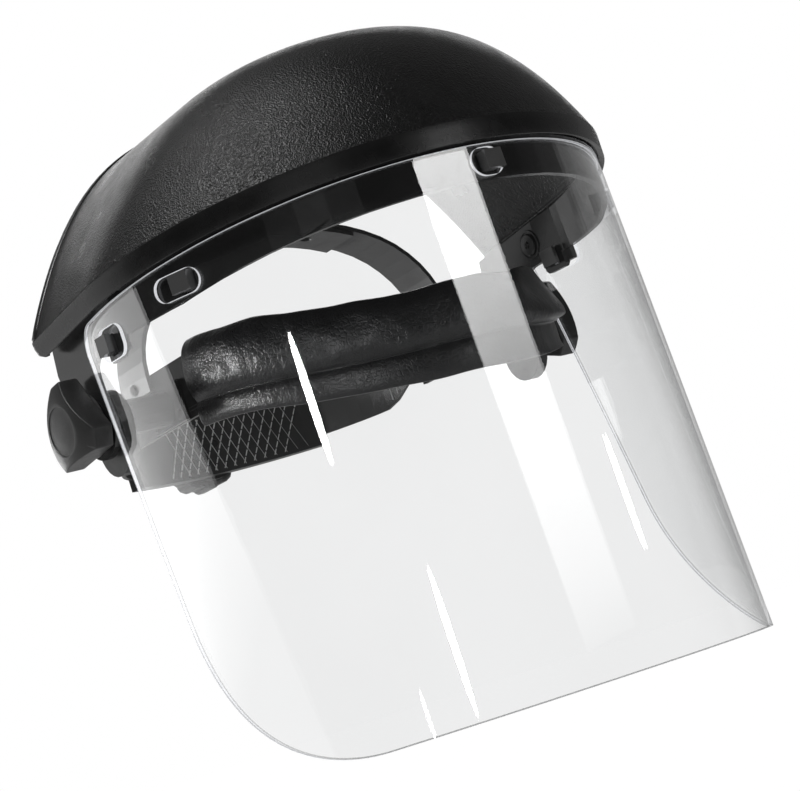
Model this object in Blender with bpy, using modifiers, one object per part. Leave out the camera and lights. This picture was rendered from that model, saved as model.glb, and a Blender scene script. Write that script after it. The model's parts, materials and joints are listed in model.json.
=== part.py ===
"""Face shield: flip-up clear visor on a brow guard, carried by a ratchet head harness.

Frame: origin midway between the two side pivots, at their height, which is where the head
sits. +Z is up, -Y is the wearer's front, +X is the wearer's left. Metres.
"""
from math import acos, asin, cos, pi, radians, sin, sqrt, tau

import bmesh
import bpy
from mathutils import Matrix, Vector

MM = 0.001
GAP = 0.3                       # clearance kept between pieces that touch

# Visor: a sheet bent to a slightly tapered, slightly leaning cylinder
VISOR_R = 115.0                 # outer radius at the bottom edge
VISOR_TAPER = 0.014             # radius lost per mm of height
VISOR_Y = -38.0                 # axis of the bend at the bottom edge
VISOR_LEAN = 0.031              # the axis leans back this much per mm of height
VISOR_Z = -153.0                # bottom edge
VISOR_THICK = 1.5
VISOR_HALF_WIDTH = 174.7        # half the sheet's width at the bottom, along the bend
VISOR_SPREAD = 0.117            # half width gained per mm of height
VISOR_CORNER = 75.0             # radius of the bottom corners
VISOR_TOP_CORNER = 11.0

# Brow guard
RIM_Z = 48.0                    # lower rim at the front
RIM_SLOPE = 0.10                # the rim drops towards the rear
RIM_BAND = 9.7
BROW_R = 114.5
BROW_Y = -32.0                  # centre of the rim's front half circle
CROWN_RISE = 59.3
CROWN_Y = -54.0                 # the crown's highest point at the front
CROWN_SHAPE = 2.79
BROW_REAR_Y = 19.7
BROW_THICK = 2.4

# Carrier inside the visor
CARRIER_THICK = 2.6
CARRIER_TURN = radians(86.0)    # the bend ends here and the flat side wings begin
WING_X = 109.0                  # outer face of the flat wing
WING_R = 14.5

# Hooks that carry the visor: arc along the sheet, height above the bottom edge
LUG_CENTRE = (0.0, 193.5)
LUG_FRONT = (125.0, 184.0)
LUG_SIDE = (177.0, 176.0)
SLOT_CENTRE = (14.0, 11.0)
SLOT_FRONT = (21.0, 9.6)
SLOT_SIDE = (17.0, 13.0)

# Head ring
RING_HALF = 75.0                # outer face of the front band at the sides
RING_FRONT_Y = -18.0            # centre of the front half ellipse
RING_FRONT = 92.0
RING_REAR_Y = 42.0              # centre of the rear half ellipse
RING_REAR = 70.6
BAND_THICK = 2.2
BAND_HALF_HEIGHT = 12.0
BAND_SIDE_Z = 4.0
BAND_FRONT_Z = -11.0
BAND_END_Y = 38.0

# Rear straps and nape ratchet, bent to a circle that the straps run round
STRAP_HALF = 72.5
STRAP_THICK = 1.6
STRAP_Z = ((-1.0, 9.0), (-12.0, 6.0))     # lower and upper edge: in the band, at the nape
NAPE_R = 97.0                   # outer face of the straps inside the housing
NAPE_Y = 10.0
NAPE_Z = -3.0
NAPE_HALF_WIDTH = 50.0
STRAP_END_X = 48.5
GEAR_PITCH_R = 4.5
GEAR_TEETH = 9
GEAR_PITCH = tau * GEAR_PITCH_R / GEAR_TEETH

# Crown strap
CROWN_STRAP_Y = (8.0, 31.0)
CROWN_STRAP_THICK = 1.8
CROWN_STRAP_HALF = 76.2
CROWN_STRAP_BASE = 16.0
CROWN_STRAP_TOP = 49.0
RIVET_Z = 13.2

# Side pivots, as distances from the middle plane
BRACKET = (75.3, 104.8)
STUD_R = 3.0
KNOB_INNER = 111.1
KNOB_FACE = 125.0


# ---------------------------------------------------------------- set-up and helpers

def clear_scene():
    for obj in list(bpy.data.objects):
        bpy.data.objects.remove(obj, do_unlink=True)
    for name in ("face_shield", "cutters"):
        bpy.context.scene.collection.children.link(bpy.data.collections.new(name))


def material(name, color, roughness, metallic=0.0, alpha=1.0):
    mat = bpy.data.materials.get(name)
    if mat is None:
        mat = bpy.data.materials.new(name)
        mat.use_nodes = True
        shader = mat.node_tree.nodes["Principled BSDF"]
        shader.inputs["Base Color"].default_value = (*color, 1.0)
        shader.inputs["Roughness"].default_value = roughness
        shader.inputs["Metallic"].default_value = metallic
        shader.inputs["Alpha"].default_value = alpha
    return mat


def add_object(name, mesh, mat=None, cutter=False):
    obj = bpy.data.objects.new(name, mesh)
    bpy.data.collections["cutters" if cutter else "face_shield"].objects.link(obj)
    if cutter:
        obj.hide_render = True
        obj.display_type = "WIRE"
    else:
        obj.data.materials.append(mat)
    return obj


def to_mesh(name, bm):
    bmesh.ops.recalc_face_normals(bm, faces=bm.faces)
    if all(edge.is_manifold for edge in bm.edges) and bm.calc_volume(signed=True) < 0:
        bmesh.ops.reverse_faces(bm, faces=bm.faces)
    mesh = bpy.data.meshes.new(name)
    bm.to_mesh(mesh)
    bm.free()
    mesh.shade_smooth()
    mesh.set_sharp_from_angle(angle=radians(32))
    return mesh


def metres(points):
    return [Vector(p) * MM for p in points]


def boolean(obj, cutter, operation="DIFFERENCE"):
    mod = obj.modifiers.new(operation.lower(), "BOOLEAN")
    mod.object = cutter
    mod.operation = operation
    mod.solver = "EXACT"


def solidify(obj, thickness, offset=-1.0):
    mod = obj.modifiers.new("thickness", "SOLIDIFY")
    mod.thickness = thickness * MM
    mod.offset = offset


def grid(name, rows, mat):
    """Open surface through rows of points, welded where they meet."""
    bm = bmesh.new()
    verts = [[bm.verts.new(p) for p in metres(row)] for row in rows]
    for low, high in zip(verts, verts[1:]):
        for i in range(len(low) - 1):
            bm.faces.new((low[i], low[i + 1], high[i + 1], high[i]))
    bmesh.ops.remove_doubles(bm, verts=bm.verts, dist=0.00001)
    bmesh.ops.dissolve_degenerate(bm, edges=bm.edges, dist=0.00001)
    return add_object(name, to_mesh(name, bm), mat)


def axis_turn(axis):
    """Rotation that takes a piece made along Z onto the named axis."""
    return {"Z": Matrix(), "X": Matrix.Rotation(pi / 2, 4, "Y"), "-X": Matrix.Rotation(-pi / 2, 4, "Y"),
            "Y": Matrix.Rotation(-pi / 2, 4, "X")}[axis]


def cylinder(name, radius, start, length, axis, at=(0, 0, 0), segments=24, cutter=True, mat=None):
    bm = bmesh.new()
    shift = Matrix.Translation((0, 0, (start + length / 2) * MM))
    bmesh.ops.create_cone(bm, cap_ends=True, cap_tris=False, segments=segments, radius1=radius * MM,
                          radius2=radius * MM, depth=length * MM,
                          matrix=Matrix.Translation(Vector(at) * MM) @ axis_turn(axis) @ shift)
    return add_object(name, to_mesh(name, bm), mat, cutter)


def box(name, low, high, cutter=True, mat=None):
    size = [(b - a) * MM for a, b in zip(low, high)]
    middle = [(a + b) / 2 * MM for a, b in zip(low, high)]
    bm = bmesh.new()
    bmesh.ops.create_cube(bm, size=1.0, matrix=Matrix.Translation(middle) @ Matrix.Diagonal((*size, 1)))
    return add_object(name, to_mesh(name, bm), mat, cutter)


def turned(name, profile, axis, at, mat, steps=24, closed=False):
    """Profile of (radius, distance along the axis), running down its outer side."""
    bm = bmesh.new()
    verts = [bm.verts.new((r * MM, 0, z * MM)) for r, z in profile]
    pairs = list(zip(verts, verts[1:])) + ([(verts[-1], verts[0])] if closed else [])
    for a, b in pairs:
        bm.edges.new((a, b))
    mesh = bpy.data.meshes.new(name)
    bm.to_mesh(mesh)
    bm.free()
    obj = add_object(name, mesh, mat)
    obj.matrix_world = Matrix.Translation(Vector(at) * MM) @ axis_turn(axis)
    mod = obj.modifiers.new("turn", "SCREW")
    mod.steps = mod.render_steps = steps
    mod.use_merge_vertices = True
    mod.merge_threshold = 0.00001
    return obj


def ring(name, inner, outer, start, length, axis, at, mat, steps=24):
    end = start + length
    profile = [(outer, end), (outer, start), (inner, start), (inner, end)]
    return turned(name, profile, axis, at, mat, steps, closed=True)


def flat_plate(name, loops, thickness):
    """Closed plate from an outline and its holes, lying in the XY plane."""
    curve = bpy.data.curves.new(name, "CURVE")
    curve.dimensions = "2D"
    curve.fill_mode = "BOTH"
    curve.extrude = thickness / 2 * MM
    for loop in loops:
        spline = curve.splines.new("POLY")
        spline.points.add(len(loop) - 1)
        for point, (x, y) in zip(spline.points, loop):
            point.co = (x * MM, y * MM, 0, 1)
        spline.use_cyclic_u = True
    temp = bpy.data.objects.new(name + "_flat", curve)
    bpy.context.scene.collection.objects.link(temp)
    mesh = bpy.data.meshes.new_from_object(temp.evaluated_get(bpy.context.evaluated_depsgraph_get()))
    bpy.data.objects.remove(temp, do_unlink=True)
    bm = bmesh.new()
    bm.from_mesh(mesh)
    bmesh.ops.remove_doubles(bm, verts=bm.verts, dist=0.00001)
    bmesh.ops.recalc_face_normals(bm, faces=bm.faces)
    bmesh.ops.dissolve_limit(bm, angle_limit=radians(1), verts=bm.verts, edges=bm.edges)
    return bm


def bend(bm, cuts, place, shift):
    """Cut a flat plate across at each arc, then carry (arc, height, depth) to its place."""
    for arc in cuts:
        geometry = bm.verts[:] + bm.edges[:] + bm.faces[:]
        bmesh.ops.bisect_plane(bm, geom=geometry, plane_co=(arc * MM, 0, 0), plane_no=(1, 0, 0))
    for v in bm.verts:
        v.co = Vector(place(v.co.x / MM, v.co.z / MM + shift, v.co.y / MM)) * MM
    bmesh.ops.remove_doubles(bm, verts=bm.verts, dist=0.00001)
    bmesh.ops.dissolve_degenerate(bm, edges=bm.edges, dist=0.00001)


def arc_points(cx, cy, radius, start, end, steps):
    return [(cx + radius * cos(start + (end - start) * i / steps),
             cy + radius * sin(start + (end - start) * i / steps)) for i in range(steps + 1)]


def rounded_slot(cx, cy, width, height, radius, steps=4):
    points = []
    for i, (sx, sy) in enumerate(((1, 1), (-1, 1), (-1, -1), (1, -1))):
        x = cx + sx * (width / 2 - radius)
        y = cy + sy * (height / 2 - radius)
        points += arc_points(x, y, radius, i * pi / 2, (i + 1) * pi / 2, steps)
    return points


def mirrored(half):
    """Whole outline from its right half, which starts and ends on the middle line."""
    return half + [(-x, y) for x, y in reversed(half) if x > 0.001]


# ---------------------------------------------------------------- visor and carrier

def visor_radius(height):
    return VISOR_R - VISOR_TAPER * height


def visor_place(arc, depth, height):
    radius = visor_radius(height)
    turn = arc / radius
    x = (radius - depth) * sin(turn)
    y = VISOR_Y + VISOR_LEAN * height - (radius - depth) * cos(turn)
    return (x, y, VISOR_Z + height)


def rim_height(y):
    """Height of the brow guard's lower rim above the visor's bottom edge."""
    return RIM_Z - RIM_SLOPE * (y - (BROW_Y - BROW_R)) - VISOR_Z


def visor_top(arc):
    y = BROW_Y - BROW_R * cos(arc / visor_radius(195.0))
    return rim_height(y) - 0.6


def visor_outline():
    half = [(0.0, 0.0)]
    corner = VISOR_HALF_WIDTH + VISOR_SPREAD * VISOR_CORNER - VISOR_CORNER * sqrt(1 + VISOR_SPREAD ** 2)
    half += arc_points(corner, VISOR_CORNER, VISOR_CORNER, -pi / 2, -VISOR_SPREAD, 16)
    top_arc = VISOR_HALF_WIDTH + VISOR_SPREAD * 185.0 - VISOR_TOP_CORNER
    top = visor_top(top_arc) - VISOR_TOP_CORNER
    half += arc_points(top_arc, top, VISOR_TOP_CORNER, 0, pi / 2, 5)
    half += [(arc, visor_top(arc)) for arc in range(180, -1, -12)]
    return mirrored(half)


def visor_slots():
    (centre, ch), (front, fh), (side, sh) = LUG_CENTRE, LUG_FRONT, LUG_SIDE
    loops = [rounded_slot(centre, ch, *SLOT_CENTRE, 5.4)]
    for s in (-1, 1):
        loops.append(rounded_slot(s * (front + 5.0), fh, *SLOT_FRONT, 4.7))
        loops.append(rounded_slot(s * (side - 3.5), sh, *SLOT_SIDE, 4.5))
    return loops


def make_visor():
    mat = material("visor_clear", (0.9, 0.93, 0.95), 0.05, alpha=0.25)
    bm = flat_plate("visor", [visor_outline()] + visor_slots(), VISOR_THICK)
    bend(bm, range(-186, 187, 12), visor_place, VISOR_THICK / 2)
    add_object("visor", to_mesh("visor", bm), mat)


def carrier_radius(height):
    return visor_radius(height) - VISOR_THICK - GAP


def carrier_start_y(height):
    """Where the carrier's bend ends and its flat wing begins."""
    return VISOR_Y + VISOR_LEAN * height - carrier_radius(height) * cos(CARRIER_TURN)


CARRIER_ARC = CARRIER_TURN * 110.4      # arc at the end of the bend
PIVOT_ARC = CARRIER_ARC - carrier_start_y(-VISOR_Z)


def carrier_place(arc, depth, height):
    radius = carrier_radius(height)
    side = -1 if arc < 0 else 1
    along = abs(arc) - CARRIER_ARC
    if along <= 0:
        turn = arc / 110.4
        return ((radius - depth) * sin(turn), VISOR_Y + VISOR_LEAN * height - (radius - depth) * cos(turn),
                VISOR_Z + height)
    start = radius * sin(CARRIER_TURN)
    x = start + (WING_X - start) * min(along / 14.0, 1.0) - depth
    return (side * x, carrier_start_y(height) + along, VISOR_Z + height)


def carrier_top(arc):
    return rim_height(BROW_Y - BROW_R * cos(min(arc / 110.4, 1.6)) + max(arc - 176, 0)) + 5.0


def carrier_lower(arc):
    """Lower edge of the band: level in front, lower towards the wings."""
    return 187.0 - 9.6 * (arc / 130.0) ** 2 if arc < 130 else 177.4 - (arc - 130) * 0.035


def carrier_outline():
    tab = carrier_arc(LUG_SIDE)
    wing = PIVOT_ARC - WING_R + 3.0
    half = [(arc, carrier_lower(arc)) for arc in range(0, 162, 10)]
    half += [(tab - 6.2, 176.4), (tab - 6.2, 171.0), (tab - 4.8, 169.6), (tab + 4.8, 169.6), (tab + 6.2, 171.0),
             (tab + 6.2, 175.8)]
    half += arc_points(wing - 7.0, 168.5, 7.0, pi / 2, 0, 5)
    half += arc_points(PIVOT_ARC, -VISOR_Z, WING_R, pi * 0.80, pi * 2.08, 18)
    half += [(PIVOT_ARC + 15.5, 165.0), (PIVOT_ARC + 17.5, 178.0)]
    half += [(arc, carrier_top(arc)) for arc in range(int(PIVOT_ARC + 16), -1, -12)]
    half[-1] = (0.0, carrier_top(0.0))
    return mirrored(half)


def carrier_arc(lug):
    """The carrier's own arc behind a point on the visor."""
    arc, height = lug
    turn = arc / visor_radius(height)
    if turn <= CARRIER_TURN:
        return turn * 110.4
    return CARRIER_ARC + visor_place(arc, 0, height)[1] - carrier_start_y(height)


def lug_holes():
    loops = []
    for arc, height in (LUG_CENTRE, LUG_FRONT, LUG_SIDE):
        middle = carrier_arc((arc, height))
        for side in ((1,) if arc == 0 else (-1, 1)):
            loops.append(rounded_slot(side * middle, height + side * 0.06, 6.2, 8.2, 0.4, 1))
    return loops


def pivot_holes():
    return [arc_points(s * PIVOT_ARC, -VISOR_Z, STUD_R + 0.1, 0, tau * 23 / 24, 23) for s in (-1, 1)]


def make_carrier(mat):
    bm = flat_plate("visor_carrier", [carrier_outline()] + lug_holes() + pivot_holes(), CARRIER_THICK)
    cuts = [s * a for s in (-1, 1) for a in range(4, 165, 12)] + [-CARRIER_ARC, CARRIER_ARC,
                                                                 -CARRIER_ARC - 14, CARRIER_ARC + 14]
    bend(bm, cuts, carrier_place, CARRIER_THICK / 2)
    carrier = add_object("visor_carrier", to_mesh("visor_carrier", bm), mat)
    lip = [(arc, carrier_top(arc) - 4.0) for arc in range(0, 163, 12)]
    lip += [(arc, carrier_top(arc) - 1.0) for arc in range(156, -1, -12)]
    bm = flat_plate("carrier_lip", [mirrored(lip)], 2.7)
    bend(bm, [s * a for s in (-1, 1) for a in range(9, 163, 12)], carrier_place, -0.35)
    boolean(carrier, add_object("carrier_lip", to_mesh("carrier_lip", bm), cutter=True), "UNION")


def lug_frame(arc, height):
    """Frame on the visor's outer face: along the sheet, outwards, up the sheet."""
    turn = arc / visor_radius(height)
    along = Vector((cos(turn), sin(turn), 0))
    up = (Vector(visor_place(arc, 0, height + 1)) - Vector(visor_place(arc, 0, height))).normalized()
    out = along.cross(up)
    frame = Matrix((along, out, up)).transposed().to_4x4()
    return Matrix.Translation(Vector(visor_place(arc, 0, height)) * MM) @ frame


def make_lug(name, lug, side, hook, sink, mat):
    """Hooked block: flange behind the carrier, stem through it and the sheet, hook outside."""
    inner = -(VISOR_THICK + GAP + CARRIER_THICK + sink)
    reach = 2.4 + abs(hook)
    outline = [(-4.6, inner - 1.6), (4.6, inner - 1.6), (4.6, inner), (2.4, inner), (2.4, 0.4), (reach, 0.4),
               (reach, 2.8), (-2.4, 2.8), (-2.4, inner), (-4.6, inner)]
    if hook < 0:
        outline = [(-x, y) for x, y in reversed(outline)]
    bm = flat_plate(name, [outline], 7.4)
    bm.transform(lug_frame(side * lug[0], lug[1]))
    add_object(name, to_mesh(name, bm), mat)


def make_lugs(mat):
    make_lug("hook_centre", LUG_CENTRE, 1, 3.0, 0.35, mat)
    for side, word in ((-1, "right"), (1, "left")):
        make_lug("hook_front_" + word, LUG_FRONT, side, side * 3.4, 0.45, mat)
        make_lug("hook_side_" + word, LUG_SIDE, side, side * -3.4, 2.1, mat)


# ---------------------------------------------------------------- brow guard

def brow_row(scale, shift, height_of, rear=BROW_REAR_Y):
    """One level of the guard, from the rear left edge round the front to the rear right."""
    centre = BROW_Y + shift
    row = []
    for t in (1.0, 0.5):
        y = centre + (rear - centre) * t
        row.append((-scale, y, height_of(y)))
    for i in range(29):
        turn = -pi / 2 + pi * i / 28
        y = centre - scale * cos(turn)
        row.append((scale * sin(turn), y, height_of(y)))
    for t in (0.5, 1.0):
        y = centre + (rear - centre) * t
        row.append((scale, y, height_of(y)))
    return row


def brow_rows():
    def rim(y):
        return VISOR_Z + rim_height(y)

    rows = [brow_row(BROW_R + 0.5, 0, rim, BROW_REAR_Y - 8.0)]
    rows.append(brow_row(BROW_R + 0.5, 0, lambda y: rim(y) + 2.6, BROW_REAR_Y - 2.6))
    rows.append(brow_row(BROW_R + 0.5, 0, lambda y: rim(y) + RIM_BAND - 1.0))
    for k in (1.0, 0.965, 0.92, 0.86, 0.79, 0.71, 0.61, 0.5, 0.38, 0.26, 0.13, 0.0):
        rise = 1 - k ** CROWN_SHAPE
        top = RIM_Z + RIM_BAND + CROWN_RISE

        def level(y, rise=rise, top=top):
            return (rim(y) + RIM_BAND) * (1 - rise) + top * rise

        rows.append(brow_row(BROW_R * k, (CROWN_Y - BROW_Y) * rise, level))
    return rows


def make_brow_guard(mat):
    solidify(grid("brow_guard", brow_rows(), mat), BROW_THICK)


# ---------------------------------------------------------------- head ring

def front_band_path(offset, reach=90.0, steps=24):
    """Points round the forehead as (x, y, middle height) from the right side to the left."""
    path = []
    for i in range(steps + 1):
        turn = radians(-reach + 2 * reach * i / steps)
        z = BAND_FRONT_Z + (BAND_SIDE_Z - BAND_FRONT_Z) * abs(sin(turn)) ** 3
        path.append(((RING_HALF + offset) * sin(turn), RING_FRONT_Y - (RING_FRONT + offset) * cos(turn), z))
    return path


def make_front_band(mat):
    ends = (BAND_END_Y, 10.0)
    path = [(-RING_HALF, y, BAND_SIDE_Z) for y in ends] + front_band_path(0.0)
    path += [(RING_HALF, y, BAND_SIDE_Z) for y in reversed(ends)]
    rows = [[(x, y, z + h) for x, y, z in path] for h in (-BAND_HALF_HEIGHT, BAND_HALF_HEIGHT)]
    band = grid("front_band", rows, mat)
    solidify(band, BAND_THICK)
    for side, word in ((-1, "right"), (1, "left")):
        for hole, (y, z) in (("crown", (19.5, RIVET_Z)), ("front", (-10.0, -4.9)), ("rear", (10.0, -4.9))):
            boolean(band, cylinder("band_hole_%s_%s" % (hole, word), 1.6, 65, 16,
                                   "X" if side > 0 else "-X", (0, y, z), 16))


def make_sweatband():
    """Padded leather sleeve folded over the top of the band."""
    mat = material("sweat_leather", (0.02, 0.02, 0.022), 0.45)
    profile = [(-4.4, -13.0), (-4.4, 0.0), (-4.4, 12.0)]
    profile += [(-1.1 + 3.3 * cos(a), 12.4 + 2.6 * sin(a)) for a in (radians(d) for d in (150, 110, 70, 30))]
    profile += [(2.2, 12.0), (2.6, 0.0), (2.2, -17.5)]
    rows = [[(x, y, z + h) for x, y, z in front_band_path(offset, 86.0, 20)] for offset, h in profile]
    solidify(grid("sweatband", rows, mat), 3.0, 0.0)


def strap_path():
    """Rear strap on the left as (x, y, spread), spread running from 0 in the band to 1 at the nape."""
    path = [(STRAP_HALF, y, 0.0) for y in (2.0, 18.0, 35.0)]
    last = acos(NAPE_HALF_WIDTH / STRAP_HALF)
    for i in range(0, 9):
        turn = last * i / 8
        y = RING_REAR_Y + RING_REAR * sin(turn)
        spread = min((y - 35.0) / 30.0, 1.0)
        path.append((STRAP_HALF * cos(turn), y, spread * spread * (3 - 2 * spread)))
    path.append((STRAP_END_X, NAPE_Y + sqrt(NAPE_R ** 2 - STRAP_END_X ** 2), 1.0))
    return path


def make_rear_strap(name, side, mat):
    path = strap_path() if side > 0 else list(reversed(strap_path()))
    rows = []
    for edge in (1, 0):
        narrow, wide = STRAP_Z[0][edge], STRAP_Z[1][edge]
        rows.append([(side * x, y, narrow + (wide - narrow) * spread) for x, y, spread in path])
    solidify(grid(name, rows, mat), STRAP_THICK)


# ---------------------------------------------------------------- nape ratchet

def nape_arc(name, inner, outer, low, high, half_width, steps, mat=None, cutter=False):
    """Block bent to the nape circle, between two radii and two heights."""
    bm = flat_plate(name, [[(-half_width, low), (half_width, low), (half_width, high), (-half_width, high)]],
                    outer - inner)
    middle = (inner + outer) / 2
    turn = asin(half_width / outer)

    def place(arc, depth, height):
        angle = arc / half_width * turn
        return ((middle - depth) * sin(angle), NAPE_Y + (middle - depth) * cos(angle), NAPE_Z + height)

    bend(bm, [half_width * (2 * i / steps - 1) for i in range(1, steps)], place, 0.0)
    return add_object(name, to_mesh(name, bm), mat, cutter)


def make_nape_plate(mat):
    plate = nape_arc("nape_plate", 92.3, 94.8, -13.6, 13.6, NAPE_HALF_WIDTH, 12, mat)
    boolean(plate, cylinder("plate_bore", 2.1, 100, 8, "Y", (0, 0, NAPE_Z), 24))
    for x in (-38, 38):
        boolean(plate, cylinder("plate_screw_hole_%d" % (x + 38), 1.5, 85, 30, "Y", (x, 0, NAPE_Z + 11.3), 12))


def make_nape_cover(mat):
    cover = nape_arc("nape_cover", 95.1, 99.5, -13.6, 13.6, NAPE_HALF_WIDTH, 12, mat)
    boss = cylinder("cover_boss", 15.0, 107.8, 3.0, "Y", (0, 0, NAPE_Z), 32)
    boolean(cover, boss, "UNION")
    boolean(cover, nape_arc("cover_channel", 94.0, 97.3, -9.4, 9.4, NAPE_HALF_WIDTH + 4, 12, cutter=True))
    boolean(cover, cylinder("cover_bore", STUD_R + 0.1, 104, 10, "Y", (0, 0, NAPE_Z), 32))
    for x in (-38, 38):
        boolean(cover, cylinder("cover_screw_hole_%d" % (x + 38), 1.5, 85, 30, "Y", (x, 0, NAPE_Z + 11.3), 12))
        boolean(cover, cylinder("cover_screw_seat_%d" % (x + 38), 2.05, 100.3, 9, "Y", (x, 0, NAPE_Z + 11.3), 16))


def make_nape_screw(name, x, mat):
    profile = [(0, 1.6), (1.8, 1.3), (1.8, 0.3), (1.2, 0.3), (1.2, -5.5), (0, -5.9)]
    turned(name, profile, "Y", (x, 100.3, NAPE_Z + 11.3), mat, 12)


def tooth_row(first, last, out):
    """Edge of a rack as (arc, height): one tooth for each pitch, in step with the pinion.

    The pinion has an odd number of teeth, so the lower rack is half a pitch out of step."""
    points = []
    step = 0.0 if out > 0 else 0.5
    for n in range(first, last + 1):
        middle = (n + step) * GEAR_PITCH
        for dx, dz in ((-0.92, 1.15), (-0.36, -0.8), (0.36, -0.8), (0.92, 1.15)):
            points.append((middle + dx, out * (GEAR_PITCH_R + dz)))
    return points


def make_rack(name, side, out, mat):
    """Toothed tail of a strap inside the housing. out is +1 above the pinion, -1 below it."""
    teeth = tooth_row(-4, 11, out)
    outline = [(side * x, z) for x, z in teeth]
    outline = [(side * -15.0, outline[0][1])] + outline + [(side * 42.0, outline[-1][1]),
                                                           (side * 42.0, out * 8.9), (side * -15.0, out * 8.9)]
    bm = flat_plate(name, [outline], STRAP_THICK)
    middle = NAPE_R - STRAP_THICK / 2

    def place(arc, depth, height):
        angle = arc / middle
        return ((middle - depth) * sin(angle), (middle - depth) * cos(angle), height)

    bend(bm, [i * 4.0 for i in range(-10, 11)], place, 0.0)
    rack = add_object(name, to_mesh(name, bm), mat)
    rack.location = Vector((0, NAPE_Y, NAPE_Z)) * MM


def pinion_outline():
    """Slim teeth with one tooth space facing straight up and one tooth straight down."""
    points = []
    for n in range(GEAR_TEETH):
        turn = -pi / 2 + tau * n / GEAR_TEETH
        for radius, half in ((3.35, 0.30), (4.5, 0.145), (5.15, 0.07)):
            points.append((radius, turn - half))
        for radius, half in ((5.15, 0.07), (4.5, 0.145), (3.35, 0.30)):
            points.append((radius, turn + half))
    return [(r * cos(a), r * sin(a)) for r, a in points]


def make_pinion(mat):
    bm = flat_plate("pinion", [pinion_outline()], 1.6)
    bm.transform(Matrix.Rotation(-pi / 2, 4, "X") @ Matrix.Diagonal((1, -1, 1, 1)))
    pinion = add_object("pinion", to_mesh("pinion", bm), mat)
    pinion.location = Vector((0, 106.1, NAPE_Z)) * MM
    shaft = cylinder("pinion_shaft", STUD_R, 106.5, 12.5, "Y", (0, 0, NAPE_Z), 32)
    journal = cylinder("pinion_journal", 2.0, 102.8, 3.0, "Y", (0, 0, NAPE_Z), 24)
    bore = cylinder("pinion_bore", 1.35, 112.0, 12.0, "Y", (0, 0, NAPE_Z), 16)
    boolean(pinion, shaft, "UNION")
    boolean(pinion, journal, "UNION")
    boolean(pinion, bore)


def make_detent(mat, metal):
    """Ring with notches fixed to the housing, and the click spring that turns with the knob."""
    notches = []
    for n in range(24):
        a = tau * n / 24
        notches += [(10.2 * cos(a - 0.07), 10.2 * sin(a - 0.07)), (10.8 * cos(a), 10.8 * sin(a)),
                    (10.2 * cos(a + 0.07), 10.2 * sin(a + 0.07))]
    bm = flat_plate("detent_ring", [arc_points(0, 0, 13.2, 0, tau * 35 / 36, 35), notches], 1.8)
    bm.transform(Matrix.Rotation(-pi / 2, 4, "X"))
    detent = add_object("detent_ring", to_mesh("detent_ring", bm), mat)
    detent.location = Vector((0, 112.05, NAPE_Z)) * MM
    nose = []
    for n in range(24):
        a = tau * n / 24
        nose.append(((9.9 if n in (6, 18) else 8.6) * cos(a), (9.9 if n in (6, 18) else 8.6) * sin(a)))
    hole = arc_points(0, 0, STUD_R + 0.1, 0, tau * 23 / 24, 23)
    bm = flat_plate("click_spring", [nose, hole], 1.2)
    bm.transform(Matrix.Rotation(-pi / 2, 4, "X"))
    spring = add_object("click_spring", to_mesh("click_spring", bm), metal)
    spring.location = Vector((0, 112.2, NAPE_Z)) * MM


def make_ratchet_knob(mat):
    """Round grip with twelve finger scallops."""
    outline = []
    for n in range(12):
        a = tau * n / 12
        outline += [(18.0 * cos(a - 0.14), 18.0 * sin(a - 0.14)), (18.0 * cos(a + 0.14), 18.0 * sin(a + 0.14)),
                    (16.6 * cos(a + 0.20), 16.6 * sin(a + 0.20)), (16.6 * cos(a + 0.32), 16.6 * sin(a + 0.32))]
    bm = flat_plate("ratchet_knob", [outline], 14.0)
    bm.transform(Matrix.Rotation(-pi / 2, 4, "X"))
    knob = add_object("ratchet_knob", to_mesh("ratchet_knob", bm), mat)
    knob.location = Vector((0, 120.3, NAPE_Z)) * MM
    bevel = knob.modifiers.new("edges", "BEVEL")
    bevel.width = 1.0 * MM
    bevel.segments = 1
    bevel.limit_method = "ANGLE"
    bevel.angle_limit = radians(60)
    boolean(knob, cylinder("knob_bore", STUD_R + 0.1, 112, 8.0, "Y", (0, 0, NAPE_Z), 32))
    boolean(knob, cylinder("knob_screw_way", 1.5, 119, 10, "Y", (0, 0, NAPE_Z), 16))
    boolean(knob, cylinder("knob_recess", 4.2, 124.5, 6, "Y", (0, 0, NAPE_Z), 24))


def make_ratchet_screw(mat):
    profile = [(0, 1.6), (2.6, 1.3), (2.9, 0.6), (2.9, 0), (1.2, 0), (1.2, -10.0), (0, -10.6)]
    turned("ratchet_screw", profile, "Y", (0, 124.8, NAPE_Z), mat, 20)


# ---------------------------------------------------------------- crown strap

def crown_path(lift, start, end, steps):
    """Arch over the head as (x, z); lift raises the part above the shoulders."""
    path = []
    for i in range(steps + 1):
        turn = radians(start + (end - start) * i / steps)
        extra = lift * min(max((sin(turn) - 0.25) / 0.45, 0.0), 1.0)
        path.append(((CROWN_STRAP_HALF + extra) * cos(turn),
                     CROWN_STRAP_BASE + (CROWN_STRAP_TOP + extra) * sin(turn)))
    return path


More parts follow.
